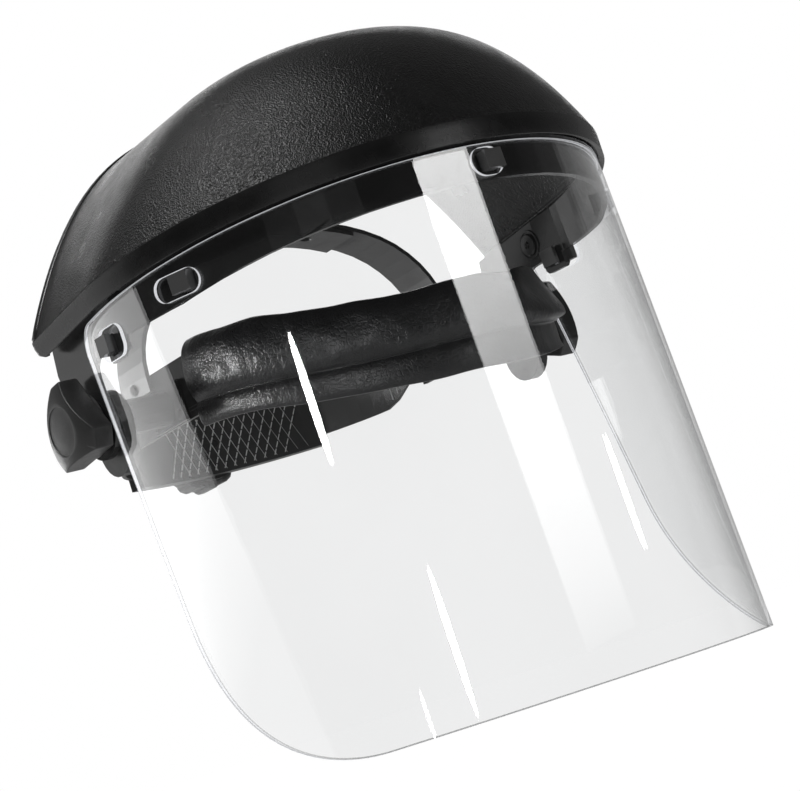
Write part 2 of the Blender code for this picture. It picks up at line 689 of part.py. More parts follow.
def make_crown_strap(name, side, lift, mat):
    """One strip from its tab on the band up and over to just past the middle."""
    path = [(CROWN_STRAP_HALF, 9.6), (CROWN_STRAP_HALF, 13.0)] + crown_path(lift, 0, 122, 18)
    rows = [[(side * x, y, z) for x, z in path] for y in CROWN_STRAP_Y]
    if side > 0:
        rows.reverse()
    strap = grid(name, rows, mat)
    solidify(strap, CROWN_STRAP_THICK, 0.0)
    word = "left" if side > 0 else "right"
    boolean(strap, cylinder("crown_rivet_hole_" + word, 1.6, 70, 30, "X" if side > 0 else "-X",
                            (0, 19.5, RIVET_Z), 16))
    for i, x in enumerate((-24, -12, 0, 12, 24)):
        tilt = axis_turn("Z")
        hole = cylinder("crown_hole_%s_%d" % (word, i), 2.7, 40, 40, "Z", (x, 19.5, 0), 16)
        hole.matrix_world = tilt
        boolean(strap, hole)


def make_crown_stud(name, x, mat):
    """Press stud that joins the two strips."""
    top = crown_height(x)
    profile = [(0, 5.0), (3.0, 4.5), (4.2, 3.7), (2.4, 3.7), (2.4, -1.9), (4.2, -1.9), (3.4, -2.9), (0, -2.9)]
    turned(name, profile, "Z", (x, 19.5, top), mat, 16)


def crown_height(x):
    return CROWN_STRAP_BASE + CROWN_STRAP_TOP * sqrt(1 - (x / CROWN_STRAP_HALF) ** 2)


# ---------------------------------------------------------------- side pivots

def make_bracket(name, side, mat):
    """Flat foot on the band, pillar, and the rounded friction plate that hangs below the pivot."""
    inner, outer = BRACKET
    axis = "X" if side > 0 else "-X"
    plate = arc_points(0, -10.0, 12.0, pi, tau, 12) + arc_points(0, 0, 12.0, 0, pi, 12)
    bm = flat_plate(name, [plate], 5.0)
    bm.transform(Matrix.Translation((side * (outer - 2.5) * MM, 0, 0))
                 @ Matrix(((0, 0, 1, 0), (1, 0, 0, 0), (0, 1, 0, 0), (0, 0, 0, 1))))
    bracket = add_object(name, to_mesh(name, bm), mat)
    near, far = sorted((side * inner, side * (inner + 2.2)))
    foot = box(name + "_foot", (near, -12.8, -7.8), (far, 12.8, 8.6))
    boolean(bracket, foot, "UNION")
    boolean(bracket, cylinder(name + "_pillar", 7.0, inner + 1.0, outer - inner - 3.0, axis), "UNION")
    boolean(bracket, cylinder(name + "_pocket", 5.4, inner - 1.0, 97.8 - inner + 1.0, axis))
    boolean(bracket, cylinder(name + "_bore", STUD_R + 0.06, inner + 5.0, 30.0, axis))
    for i, y in enumerate((-10.0, 10.0)):
        boolean(bracket, cylinder("%s_rivet_hole_%d" % (name, i), 1.6, inner - 2, 8, axis, (0, y, -4.9), 12))


def make_pivot_hardware(side, word, steel, rubber, brass):
    axis = "X" if side > 0 else "-X"
    inner, outer = BRACKET
    stud = [(0, 120.0), (2.4, 120.0), (STUD_R, 119.3), (STUD_R, 97.5), (5.0, 97.5), (5.0, 94.2), (0, 94.2)]
    turned("pivot_stud_" + word, stud, axis, (0, 0, 0), steel)
    ring("friction_washer_" + word, STUD_R + 0.1, 11.5, outer + 0.25, 1.05, axis, (0, 0, 0), rubber)
    ring("outer_washer_" + word, STUD_R + 0.1, 9.5, WING_X + 0.25, 1.5, axis, (0, 0, 0), steel)
    ring("knob_insert_" + word, STUD_R + 0.06, 5.2, 112.0, 7.0, axis, (0, 0, 0), brass)


def knob_outline(turn):
    """Triangle with its corners cut off; unturned, one corner points up."""
    points = []
    for n in range(3):
        a = turn + tau * n / 3
        for step, radius in ((-0.28, 19.4), (-0.13, 20.6), (0.13, 20.6), (0.28, 19.4)):
            points.append((radius * sin(a + step), radius * cos(a + step)))
    return points


def make_side_knob(name, side, turn, mat):
    """Three-sided grip that widens towards its face, with a round cap in the face and a collar."""
    axis = "X" if side > 0 else "-X"
    inner = KNOB_INNER + 3.2
    bm = flat_plate(name, [knob_outline(turn)], KNOB_FACE - inner)
    for v in bm.verts:
        if v.co.z < 0:
            v.co.x *= 0.88
            v.co.y *= 0.88
    bmesh.ops.recalc_face_normals(bm, faces=bm.faces)
    face = [e for e in bm.edges if all(v.co.z > 0 for v in e.verts)]
    bmesh.ops.bevel(bm, geom=face, offset=1.3 * MM, segments=2, profile=0.5, affect="EDGES")
    bm.transform(Matrix(((0, 0, side, side * (KNOB_FACE + inner) / 2 * MM), (1, 0, 0, 0), (0, 1, 0, 0),
                         (0, 0, 0, 1))))
    knob = add_object(name, to_mesh(name, bm), mat)
    boolean(knob, cylinder(name + "_collar", 13.0, KNOB_INNER, 5.0, axis), "UNION")
    ring_cut = ring(name + "_groove", 9.0, 9.8, KNOB_FACE - 0.8, 2.0, axis, (0, 0, 0), mat)
    bpy.data.collections["face_shield"].objects.unlink(ring_cut)
    bpy.data.collections["cutters"].objects.link(ring_cut)
    ring_cut.hide_render = True
    ring_cut.display_type = "WIRE"
    boolean(knob, ring_cut)
    boolean(knob, cylinder(name + "_pocket", 5.5, KNOB_INNER - 1, 9.2, axis))
    boolean(knob, cylinder(name + "_way", STUD_R + 0.3, KNOB_INNER, 9.8, axis))


def make_rivet(name, side, y, z, length, mat):
    """Rivet through the band, its flat head on the head side."""
    axis = "X" if side > 0 else "-X"
    start = RING_HALF - BAND_THICK - 0.2
    end = start + length
    profile = [(0, end + 1.1), (2.0, end + 0.9), (2.4, end), (1.45, end), (1.45, start), (2.4, start),
               (2.3, start - 0.9), (0, start - 0.9)]
    turned(name, profile, axis, (0, y, z), mat, 12)


def make_side(side, word, turn, black, steel, rubber, brass):
    make_bracket("pivot_bracket_" + word, side, black)
    make_pivot_hardware(side, word, steel, rubber, brass)
    make_side_knob("side_knob_" + word, side, turn, black)
    make_rivet("crown_rivet_" + word, side, 19.5, RIVET_Z, 4.8, steel)
    make_rivet("bracket_rivet_front_" + word, side, -10.0, -4.9, 5.2, steel)
    make_rivet("bracket_rivet_rear_" + word, side, 10.0, -4.9, 5.2, steel)


def build():
    clear_scene()
    shell = material("brow_black", (0.018, 0.018, 0.018), 0.55)
    black = material("harness_black", (0.015, 0.015, 0.016), 0.4)
    strap = material("strap_black", (0.03, 0.03, 0.032), 0.5)
    steel = material("zinc_steel", (0.55, 0.56, 0.58), 0.3, 1.0)
    brass = material("insert_brass", (0.72, 0.55, 0.25), 0.35, 1.0)
    rubber = material("washer_rubber", (0.04, 0.04, 0.04), 0.8)
    make_brow_guard(shell)
    make_carrier(black)
    make_lugs(black)
    make_visor()
    make_front_band(black)
    make_sweatband()
    make_crown_strap("crown_strap_left", 1, 2.1, strap)
    make_crown_strap("crown_strap_right", -1, 0.0, strap)
    make_crown_stud("crown_stud_right", -12.0, black)
    make_crown_stud("crown_stud_left", 12.0, black)
    make_rear_strap("rear_strap_left", 1, strap)
    make_rear_strap("rear_strap_right", -1, strap)
    make_nape_plate(black)
    make_nape_cover(black)
    make_nape_screw("nape_screw_left", 38.0, steel)
    make_nape_screw("nape_screw_right", -38.0, steel)
    make_rack("rack_left", 1, 1, strap)
    make_rack("rack_right", -1, -1, strap)
    make_pinion(black)
    make_detent(black, steel)
    make_ratchet_knob(black)
    make_ratchet_screw(steel)
    for side, word, turn in ((-1, "right", 0.0), (1, "left", radians(-17.5))):
        make_side(side, word, turn, black, steel, rubber, brass)


build()
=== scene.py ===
"""Looks of the face shield: materials, detailed pieces, light and camera."""
import json
from math import asin, cos, hypot, pi, radians, sin, sqrt, tau

import bmesh
import bpy
from mathutils import Matrix, Vector, noise

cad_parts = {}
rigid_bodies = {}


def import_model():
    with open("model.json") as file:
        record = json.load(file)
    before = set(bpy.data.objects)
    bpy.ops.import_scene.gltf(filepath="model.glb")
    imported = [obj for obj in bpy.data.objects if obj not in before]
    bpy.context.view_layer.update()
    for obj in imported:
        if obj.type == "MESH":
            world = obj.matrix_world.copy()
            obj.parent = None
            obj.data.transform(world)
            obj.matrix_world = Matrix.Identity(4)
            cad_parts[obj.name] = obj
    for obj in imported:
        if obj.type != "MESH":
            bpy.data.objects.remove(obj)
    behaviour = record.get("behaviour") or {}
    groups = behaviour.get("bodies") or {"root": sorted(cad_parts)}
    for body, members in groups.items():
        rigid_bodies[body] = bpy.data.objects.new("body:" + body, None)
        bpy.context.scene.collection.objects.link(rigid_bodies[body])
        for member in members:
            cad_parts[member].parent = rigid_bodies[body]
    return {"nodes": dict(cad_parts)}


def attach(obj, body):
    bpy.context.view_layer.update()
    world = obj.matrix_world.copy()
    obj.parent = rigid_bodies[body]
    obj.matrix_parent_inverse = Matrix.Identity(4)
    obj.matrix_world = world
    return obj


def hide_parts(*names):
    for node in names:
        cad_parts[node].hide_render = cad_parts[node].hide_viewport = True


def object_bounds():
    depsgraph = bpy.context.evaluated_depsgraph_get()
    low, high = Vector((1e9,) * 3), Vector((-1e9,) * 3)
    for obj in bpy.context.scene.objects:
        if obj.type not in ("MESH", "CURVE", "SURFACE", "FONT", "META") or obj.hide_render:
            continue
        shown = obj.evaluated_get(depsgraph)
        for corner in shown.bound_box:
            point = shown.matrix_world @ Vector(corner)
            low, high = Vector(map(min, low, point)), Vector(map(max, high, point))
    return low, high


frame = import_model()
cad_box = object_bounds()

MM = 0.001
SIDES = ((-1, "right"), (1, "left"))        # sign of X and word in the names, as the wearer has them

# The CAD's own sizes, in millimetres
VISOR_R = 115.0                     # outer radius at the bottom edge
VISOR_TAPER = 0.014                 # radius lost per mm of height
VISOR_Y = -38.0                     # axis of the bend at the bottom edge
VISOR_LEAN = 0.031                  # the axis leans back this much per mm of height
VISOR_Z = -153.0                    # bottom edge
VISOR_THICK = 1.5
VISOR_HALF_WIDTH = 174.7            # half the sheet's width at the bottom, along the bend
VISOR_SPREAD = 0.117                # half width gained per mm of height
VISOR_CORNER = 75.0                 # radius of the bottom corners
VISOR_TOP_CORNER = 11.0
VISOR_SHOULDER = 185.0              # height at which the top corners' width is taken
VISOR_TOP = 195.0                   # height at which the top edge's bend is taken
VISOR_TOP_GAP = 0.6
RIM_Z = 48.0                        # lower rim at the front
RIM_SLOPE = 0.10                    # the rim drops towards the rear
RIM_BAND = 9.7
BROW_R = 114.5
BROW_Y = -32.0                      # centre of the rim's front half circle
CROWN_RISE = 59.3
CROWN_Y = -54.0                     # the crown's highest point at the front
CROWN_SHAPE = 2.79
BROW_REAR_Y = 19.7
BROW_THICK = 2.4
LUG_CENTRE = (0.0, 193.5)           # place of the hooks on the sheet: along the bend, height
LUG_FRONT = (125.0, 184.0)
LUG_SIDE = (177.0, 176.0)
SLOT_CENTRE = (14.0, 11.0, 5.4)     # width, height and corner radius
SLOT_FRONT = (21.0, 9.6, 4.7)
SLOT_SIDE = (17.0, 13.0, 4.5)
RING_HALF = 75.0                    # outer face of the front band at the sides
RING_FRONT_Y = -18.0                # centre of the front half ellipse
RING_FRONT = 92.0
RING_REAR_Y = 42.0                  # centre of the rear half ellipse
RING_REAR = 70.6
BAND_SIDE_Z = 4.0
BAND_FRONT_Z = -11.0
STRAP_HALF = 72.5
STRAP_Z = ((-1.0, 9.0), (-12.0, 6.0))       # rear strap's lower and upper edge: in the band, at the nape
CROWN_STRAP_HALF = 76.2
CROWN_STRAP_BASE = 16.0
CROWN_STRAP_RISE = 49.0
NAPE_Y = 10.0
NAPE_Z = -3.0
WING_BOSS = (106.3, -21.0, 32.0)            # inner face of the carrier's flat wing

# Detail that only the looks need, in millimetres
SLOT_SHIFT_FRONT = 5.0              # how far each slot's middle lies from its hook's, outwards
SLOT_SHIFT_SIDE = -3.5
BOTTOM_MARK = 60.0                  # a point on the straight bottom edge, for an even fill of the flat sheet
SHEET_CUT = 4                       # width of the strips that the flat sheet is bent in
SHEET_CUT_OFFSET = 0.37
EDGE_LINE = (0.12, 0.62, 0.10)      # start and end of the shade line from the cut edge, half its depth
# Section of the rim band: height over the rim, how far out, and how far its rear end is shifted
RIM_PROFILE = ((0.0, 0.2, -8.0), (0.35, 0.5, -7.2), (2.6, 0.5, -2.6), (5.6, 0.5, -0.8), (8.4, 0.5, 0.0),
               (8.9, 0.42, 0.0), (9.15, 0.15, 0.0), (9.7, 0.0, 0.0))
CROWN_STEPS = 44
# Section of the rear edge's bead: along Y, and outwards from the dome
BEAD_PROFILE = ((-1.9, -1.2), (-1.9, 0.05), (-1.5, 0.55), (-0.7, 0.85), (0.7, 0.85), (1.35, 0.55), (1.6, 0.0),
                (1.6, -1.2))
# Section of the sleeve: offset outwards from the band's outer face, and height over the band's middle. It goes
# up the outside (flap, seam, roll), over the top and down the inside, and then up and down round the band.
PAD_PROFILE = [(1.6, -18.2), (3.0, -18.4), (3.9, -16.8), (4.1, -14.4), (4.2, -11.6), (4.0, -9.4), (3.4, -7.9),
               (2.9, -7.2), (3.6, -6.4), (5.0, -5.2), (6.1, -3.2), (6.6, -0.4), (6.6, 3.0), (6.0, 7.0),
               (4.8, 11.2), (2.7, 15.0), (0.2, 17.3), (-2.3, 17.4), (-4.6, 15.8), (-6.0, 12.8), (-6.6, 8.0),
               (-6.7, 2.0), (-6.5, -5.0), (-6.0, -11.0), (-5.2, -13.6), (-3.9, -13.6), (-2.9, -11.0),
               (-2.7, 0.0), (-2.6, 9.0), (-2.2, 12.4), (-1.1, 13.1), (0.1, 12.4), (0.5, 9.0), (0.7, 0.0),
               (0.9, -8.0), (1.1, -15.0)]
PAD_SEAM = (3.0, -7.15)             # the seam's offset and height by the band
PAD_REACH = radians(86.0)
PAD_TAPER = radians(32.0)           # the sleeve narrows from here on to its end on the wearer's left
PAD_FOLD = (radians(10), radians(30))       # where the roll rises into a fold
PAD_STEPS = 240
PAD_MEAN_R = 88.0
SEAM_STEPS = 150
SEAM_SIZE = 0.32
# Turned section: radius, height over the wing's face
BOSS_PROFILE = [(0, -0.1), (6.4, -0.1), (6.5, 0.2), (6.3, 0.5), (5.6, 0.5), (5.4, 0.1), (4.9, 0.1), (4.8, 0.8),
                (4.4, 1.3), (1.6, 1.4), (1.4, 0.9), (0, 0.9)]
KNOB_CORNER = 18.9                  # from the axis to a blunted corner
KNOB_FLAT = 12.9                    # from the axis to a side
KNOB_ROUND = 1.3
KNOB_DISH = 9.9
KNOB_TOP = 125.6
KNOB_DOME = 5.0
KNOB_BACK = 112.3
KNOB_TURN = {"right": 5.0, "left": -17.5}       # degrees
# The knob from back to front. Its skirt: distance from the head's middle, share of the outline's size. Its
# shoulder: share of the outline's size, drop under the domed face. The dish in it: radius, drop.
KNOB_SKIRT = ((KNOB_BACK, 0.90), (KNOB_BACK, 0.965), (112.6, 0.99), (113.2, 1.0), (116.0, 1.0))
KNOB_SHOULDER = ((1.0, 0.50), (0.997, 0.22), (0.990, 0.07), (0.978, 0.0))
KNOB_HOLLOW = ((KNOB_DISH - 0.12, 0.06), (KNOB_DISH - 0.3, 0.34), (KNOB_DISH - 0.55, 0.42), (7.0, 0.62),
               (3.5, 0.95))
# Turned section: radius, distance from the head's middle
KNOB_COLLAR = [(0, 111.25), (11.9, 111.25), (12.6, 111.5), (12.8, 111.9), (12.8, 112.6), (0, 112.6)]
LINE_HEIGHTS = (-9.2, -7.9)         # the band's two fine lines, by its middle
LINE_PROFILE = ((-0.2, -0.22), (0.28, -0.16), (0.28, 0.16), (-0.2, 0.22))
LINE_STEPS = 90
LINE_END_Y = (-17.9, -13.6)
LATTICE_START = -22.0               # the nape plate's lattice: its first lines, along the plate's bend
LATTICE_PITCH = 5.05
LATTICE_LINES = 13
LATTICE_HALF = 12.2                 # half its height
LATTICE_R = (91.75, 92.6)           # a line's face and its foot in the plate
LATTICE_MEAN_R = 93.5
DASHES = 8                          # along each line
# Lean of a line's ends, its width, and the share of each dash left open at either end of it
BOLD_LINE = (-6.9, 0.40, 0.11)
HAIR_LINE = (4.4, 0.08, 0.0)


# ---------------------------------------------------------------- meshes

def finish_mesh(name, bm, angle=35.0):
    """Mesh with its faces outwards, smooth but for edges sharper than the angle in degrees."""
    bmesh.ops.recalc_face_normals(bm, faces=bm.faces)
    if all(e.is_manifold for e in bm.edges) and bm.calc_volume(signed=True) < 0:
        bmesh.ops.reverse_faces(bm, faces=bm.faces)
    mesh = bpy.data.meshes.new(name)
    bm.to_mesh(mesh)
    bm.free()
    mesh.shade_smooth()
    mesh.set_sharp_from_angle(angle=radians(angle))
    return mesh


def piece(name, mesh, mats, body, replaces=()):
    obj = bpy.data.objects.new(name, mesh)
    bpy.context.scene.collection.objects.link(obj)
    for mat in mats:
        obj.data.materials.append(mat)
    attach(obj, body)
    if replaces:
        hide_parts(*replaces)
    return obj


def bridge(bm, a, b):
    """Faces between two closed rings of equally many points."""
    n = len(a)
    for k in range(n):
        bm.faces.new((a[k], a[(k + 1) % n], b[(k + 1) % n], b[k]))


def sheet(rows):
    """Open sheet through rows of points in mm."""
    bm = bmesh.new()
    verts = [[bm.verts.new(Vector(p) * MM) for p in row] for row in rows]
    for low, high in zip(verts, verts[1:]):
        for i in range(len(low) - 1):
            bm.faces.new((low[i], low[i + 1], high[i + 1], high[i]))
    bmesh.ops.remove_doubles(bm, verts=bm.verts, dist=0.01 * MM)
    bmesh.ops.dissolve_degenerate(bm, edges=bm.edges, dist=0.01 * MM)
    bmesh.ops.recalc_face_normals(bm, faces=bm.faces)
    return bm


def tube(count, profile_at):
    """Closed piece: that many rings of points in mm from profile_at(i, share), capped at both ends."""
    bm = bmesh.new()
    rings = [[bm.verts.new(Vector(p) * MM) for p in profile_at(i, i / (count - 1))] for i in range(count)]
    for a, b in zip(rings, rings[1:]):
        bridge(bm, a, b)
    bm.faces.new(list(reversed(rings[0])))
    bm.faces.new(rings[-1])
    return bm


def add_bar(bm, low, high):
    """Closed bar between two end faces given by their points in mm."""
    a = [bm.verts.new(Vector(p) * MM) for p in low]
    b = [bm.verts.new(Vector(p) * MM) for p in high]
    bm.faces.new(a)
    bm.faces.new(list(reversed(b)))
    bridge(bm, b, a)


def lathe(bm, profile, steps, matrix):
    """Closed turned solid from (radius, height) points, first and last on the axis."""
    turns = [tau * k / steps for k in range(steps)]
    rings = []
    for r, z in profile:
        points = [(r * cos(t), r * sin(t), z) for t in turns] if r > 0 else [(0, 0, z)]
        rings.append([bm.verts.new(matrix @ Vector(p) * MM) for p in points])
    for a, b in zip(rings, rings[1:]):
        for k in range(steps):
            j = (k + 1) % steps
            if len(a) == 1:
                bm.faces.new((a[0], b[k], b[j]))
            elif len(b) == 1:
                bm.faces.new((a[k], b[0], a[j]))
            else:
                bm.faces.new((a[k], b[k], b[j], a[j]))


def flat_plate(name, loops, thickness):
    """Flat plate in the XY plane with the first loop as its outline and the others as holes."""
    curve = bpy.data.curves.new(name, "CURVE")
    curve.dimensions = "2D"
    curve.fill_mode = "BOTH"
    curve.extrude = thickness / 2 * MM
    for loop in loops:
        spline = curve.splines.new("POLY")
        spline.points.add(len(loop) - 1)
        for point, (x, y) in zip(spline.points, loop):
            point.co = (x * MM, y * MM, 0, 1)
        spline.use_cyclic_u = True
    temp = bpy.data.objects.new(name + "_flat", curve)
    bpy.context.scene.collection.objects.link(temp)
    mesh = bpy.data.meshes.new_from_object(temp.evaluated_get(bpy.context.evaluated_depsgraph_get()))
    bpy.data.objects.remove(temp, do_unlink=True)
    bm = bmesh.new()
    bm.from_mesh(mesh)
    bpy.data.meshes.remove(mesh)
    bmesh.ops.remove_doubles(bm, verts=bm.verts, dist=0.005 * MM)
    bmesh.ops.recalc_face_normals(bm, faces=bm.faces)
    bmesh.ops.dissolve_limit(bm, angle_limit=radians(1), verts=bm.verts, edges=bm.edges)
    return bm


def arc_points(cx, cy, radius, start, end, steps):
    return [(cx + radius * cos(start + (end - start) * i / steps),
             cy + radius * sin(start + (end - start) * i / steps)) for i in range(steps + 1)]


def rounded_slot(cx, cy, width, height, radius, steps=8):
    points = []
    for i, (sx, sy) in enumerate(((1, 1), (-1, 1), (-1, -1), (1, -1))):
        x = cx + sx * (width / 2 - radius)
        y = cy + sy * (height / 2 - radius)
        points += arc_points(x, y, radius, i * pi / 2, (i + 1) * pi / 2, steps)
    return points


def smooth(t):
    """0 to 1 with level ends."""
    return t * t * (3 - 2 * t)


# ---------------------------------------------------------------- node materials

class Nodes:
    """Short hand for building the node tree of a material, a light or the world."""

    def __init__(self, owner):
        owner.use_nodes = True
        self.owner = owner
        self.tree = owner.node_tree
        self.shader = self.tree.nodes.get("Principled BSDF")
        self.place = None

    def add(self, kind, **values):
        node = self.tree.nodes.new(kind)
        for key, value in values.items():
            if hasattr(node, key):
                setattr(node, key, value)
            else:
                node.inputs[key.replace("_", " ")].default_value = value
        return node

    def link(self, a, b):
        self.tree.links.new(a, b)

    def feed(self, output, name):
        """Link an output to the Principled shader's input of that name."""
        self.link(output, self.shader.inputs[name])

    def set(self, **values):
        for key, value in values.items():
            self.shader.inputs[key.replace("_", " ")].default_value = value

    def coords(self):
        if self.place is None:
            self.place = self.add("ShaderNodeTexCoord").outputs["Object"]
        return self.place

    def noise(self, scale, detail=3.0, rough=0.55, coords=None):
        node = self.add("ShaderNodeTexNoise", Scale=scale, Detail=detail, Roughness=rough)
        self.link(self.coords() if coords is None else coords, node.inputs["Vector"])
        return node.outputs["Fac"]

    def ramp(self, fac, stops):
        node = self.add("ShaderNodeValToRGB")
        self.link(fac, node.inputs["Fac"])
        elements = node.color_ramp.elements
        while len(elements) < len(stops):
            elements.new(0.5)
        for element, (position, value) in zip(elements, stops):
            element.position = position
            element.color = (*value, 1.0) if isinstance(value, tuple) else (value, value, value, 1.0)
        return node.outputs["Color"]

    def bump(self, height, strength, distance, normal=None):
        node = self.add("ShaderNodeBump", Strength=strength, Distance=distance)
        self.link(height, node.inputs["Height"])
        if normal is not None:
            self.link(normal, node.inputs["Normal"])
        return node.outputs["Normal"]

    def maths(self, operation, *values):
        node = self.add("ShaderNodeMath", operation=operation)
        for socket, value in zip(node.inputs, values):
            if isinstance(value, (int, float)):
                socket.default_value = value
            else:
                self.link(value, socket)
        return node.outputs[0]


def material(name):
    return Nodes(bpy.data.materials.new(name))


def edge_wear(nt, light):
    """0 on flat faces, rising to light along convex edges."""
    geometry = nt.add("ShaderNodeNewGeometry")
    return nt.ramp(geometry.outputs["Pointiness"], [(0.50, 0.0), (0.58, light)])


def plastic(name, dark, light, rough, grain, grain_size=0.5, cloud=30.0, coat=0.0, wear=0.03, level=0.5,
            depth=0.00025):
    """Moulded plastic: cloudy colour, grain in the surface with its size in mm, paler worn edges."""
    nt = material(name)
    base = nt.ramp(nt.noise(cloud, 4.0), [(0.3, dark), (0.7, light)])
    mix = nt.add("ShaderNodeMix", data_type="RGBA", blend_type="ADD")
    mix.inputs[0].default_value = 1.0
    nt.link(base, mix.inputs[6])
    nt.link(edge_wear(nt, wear), mix.inputs[7])
    nt.feed(mix.outputs[2], "Base Color")
    nt.feed(nt.ramp(nt.noise(cloud * 3, 3.0), [(0.3, rough - 0.06), (0.7, rough + 0.06)]), "Roughness")
    cells = nt.add("ShaderNodeTexVoronoi", Scale=1000.0 / grain_size, feature="F1")
    nt.link(nt.coords(), cells.inputs["Vector"])
    soft = nt.noise(620.0 / grain_size, 2.0)
    both = nt.maths("ADD", nt.maths("MULTIPLY", cells.outputs["Distance"], 0.6), soft)
    nt.feed(nt.bump(both, grain, depth), "Normal")
    nt.set(Coat_Weight=coat, Coat_Roughness=0.15, Specular_IOR_Level=level)
    return nt.owner


def metal(name, dark, light, rough):
    """Metal with a fine brushed streak."""
    nt = material(name)
    mapping = nt.add("ShaderNodeMapping")
    mapping.inputs["Scale"].default_value = (1.0, 1.0, 12.0)
    nt.link(nt.coords(), mapping.inputs["Vector"])
    streak = nt.noise(700.0, 3.0, coords=mapping.outputs[0])
    nt.feed(nt.ramp(streak, [(0.3, dark), (0.7, light)]), "Base Color")
    nt.feed(nt.ramp(nt.noise(180.0), [(0.3, rough - 0.06), (0.7, rough + 0.1)]), "Roughness")
    nt.feed(nt.bump(streak, 0.15, 0.00005), "Normal")
    nt.set(Metallic=1.0)
    return nt.owner


def cell_walls(nt, scale, coords, width):
    """0 on the walls between random cells, 1 inside them."""
    cells = nt.add("ShaderNodeTexVoronoi", Scale=scale, feature="DISTANCE_TO_EDGE")
    nt.link(coords, cells.inputs["Vector"])
    return nt.ramp(cells.outputs["Distance"], [(0.0, 0.0), (width, 1.0)])


def leather(name):
    """Soft black leatherette: long folds, creased cells and a fine pebble, warped by a noise."""
    nt = material(name)
    warp = nt.add("ShaderNodeTexNoise", Scale=260.0, Detail=4.0)
    nt.link(nt.coords(), warp.inputs["Vector"])
    moved = nt.add("ShaderNodeMix", data_type="VECTOR")
    moved.inputs[0].default_value = 0.0035
    nt.link(nt.coords(), moved.inputs[4])
    nt.link(warp.outputs["Color"], moved.inputs[5])
    crease = cell_walls(nt, 480.0, moved.outputs[1], 0.16)
    pebble = cell_walls(nt, 1100.0, moved.outputs[1], 0.25)
    folded = nt.bump(nt.noise(85.0, 5.0, 0.62), 0.45, 0.0018)
    creased = nt.bump(crease, 0.34, 0.00026, folded)
    nt.feed(nt.bump(pebble, 0.2, 0.00010, creased), "Normal")
    tone = nt.ramp(nt.noise(120.0, 4.0), [(0.3, (0.005, 0.005, 0.0055)), (0.75, (0.014, 0.014, 0.015))])
    nt.feed(tone, "Base Color")
    nt.feed(nt.ramp(nt.noise(160.0, 4.0), [(0.3, 0.27), (0.7, 0.38)]), "Roughness")
    nt.set(Coat_Weight=0.25, Coat_Roughness=0.28, Specular_IOR_Level=0.6)
    return nt.owner


def clear_sheet(name, tint, haze):
    """Clear moulded sheet: what is behind shows through, and light and surroundings reflect by the angle."""
    nt = material(name)
    nt.tree.nodes.clear()
    facing = nt.add("ShaderNodeLayerWeight", Blend=0.5).outputs["Facing"]
    share = nt.maths("MULTIPLY_ADD", nt.maths("POWER", facing, 5.0), 0.95, 0.045)
    smear = nt.ramp(nt.noise(9.0, 5.0, 0.5), [(0.35, tint), (0.75, tuple(t * haze for t in tint))])
    see = nt.add("ShaderNodeBsdfTransparent")
    nt.link(smear, see.inputs["Color"])
    gloss = nt.add("ShaderNodeBsdfGlossy", Roughness=0.015, Color=(1.0, 1.0, 1.0, 1.0))
    mix = nt.add("ShaderNodeMixShader")
    for source, socket in zip((share, see.outputs[0], gloss.outputs[0]), mix.inputs):
        nt.link(source, socket)
    nt.link(mix.outputs[0], nt.add("ShaderNodeOutputMaterial").inputs["Surface"])
    return nt.owner


def glowing_sheet_edge(name):
    """Polished cut edge of the clear sheet, painted near-white and glowing: its emission is painted light that
    stands in for the light the edge pipes and the glints along it.
    """
    nt = material(name)
    tone = nt.ramp(nt.noise(500.0, 3.0), [(0.3, (0.74, 0.75, 0.78)), (0.7, (0.88, 0.89, 0.92))])
    nt.feed(tone, "Base Color")
    nt.feed(nt.ramp(nt.noise(900.0), [(0.3, 0.08), (0.7, 0.22)]), "Roughness")
    nt.feed(tone, "Emission Color")
    # painted glow: the cut edge emits light though it is no lamp
    nt.set(Emission_Strength=0.90, Alpha=0.7, IOR=1.5)
    return nt.owner


def edge_line(name):
    """Thin shade just inside a clear sheet's cut edge, where light is bent away."""
    nt = material(name)
    nt.feed(nt.ramp(nt.noise(300.0), [(0.3, 0.10), (0.7, 0.20)]), "Base Color")
    nt.set(Roughness=0.3, Alpha=0.20)
    return nt.owner


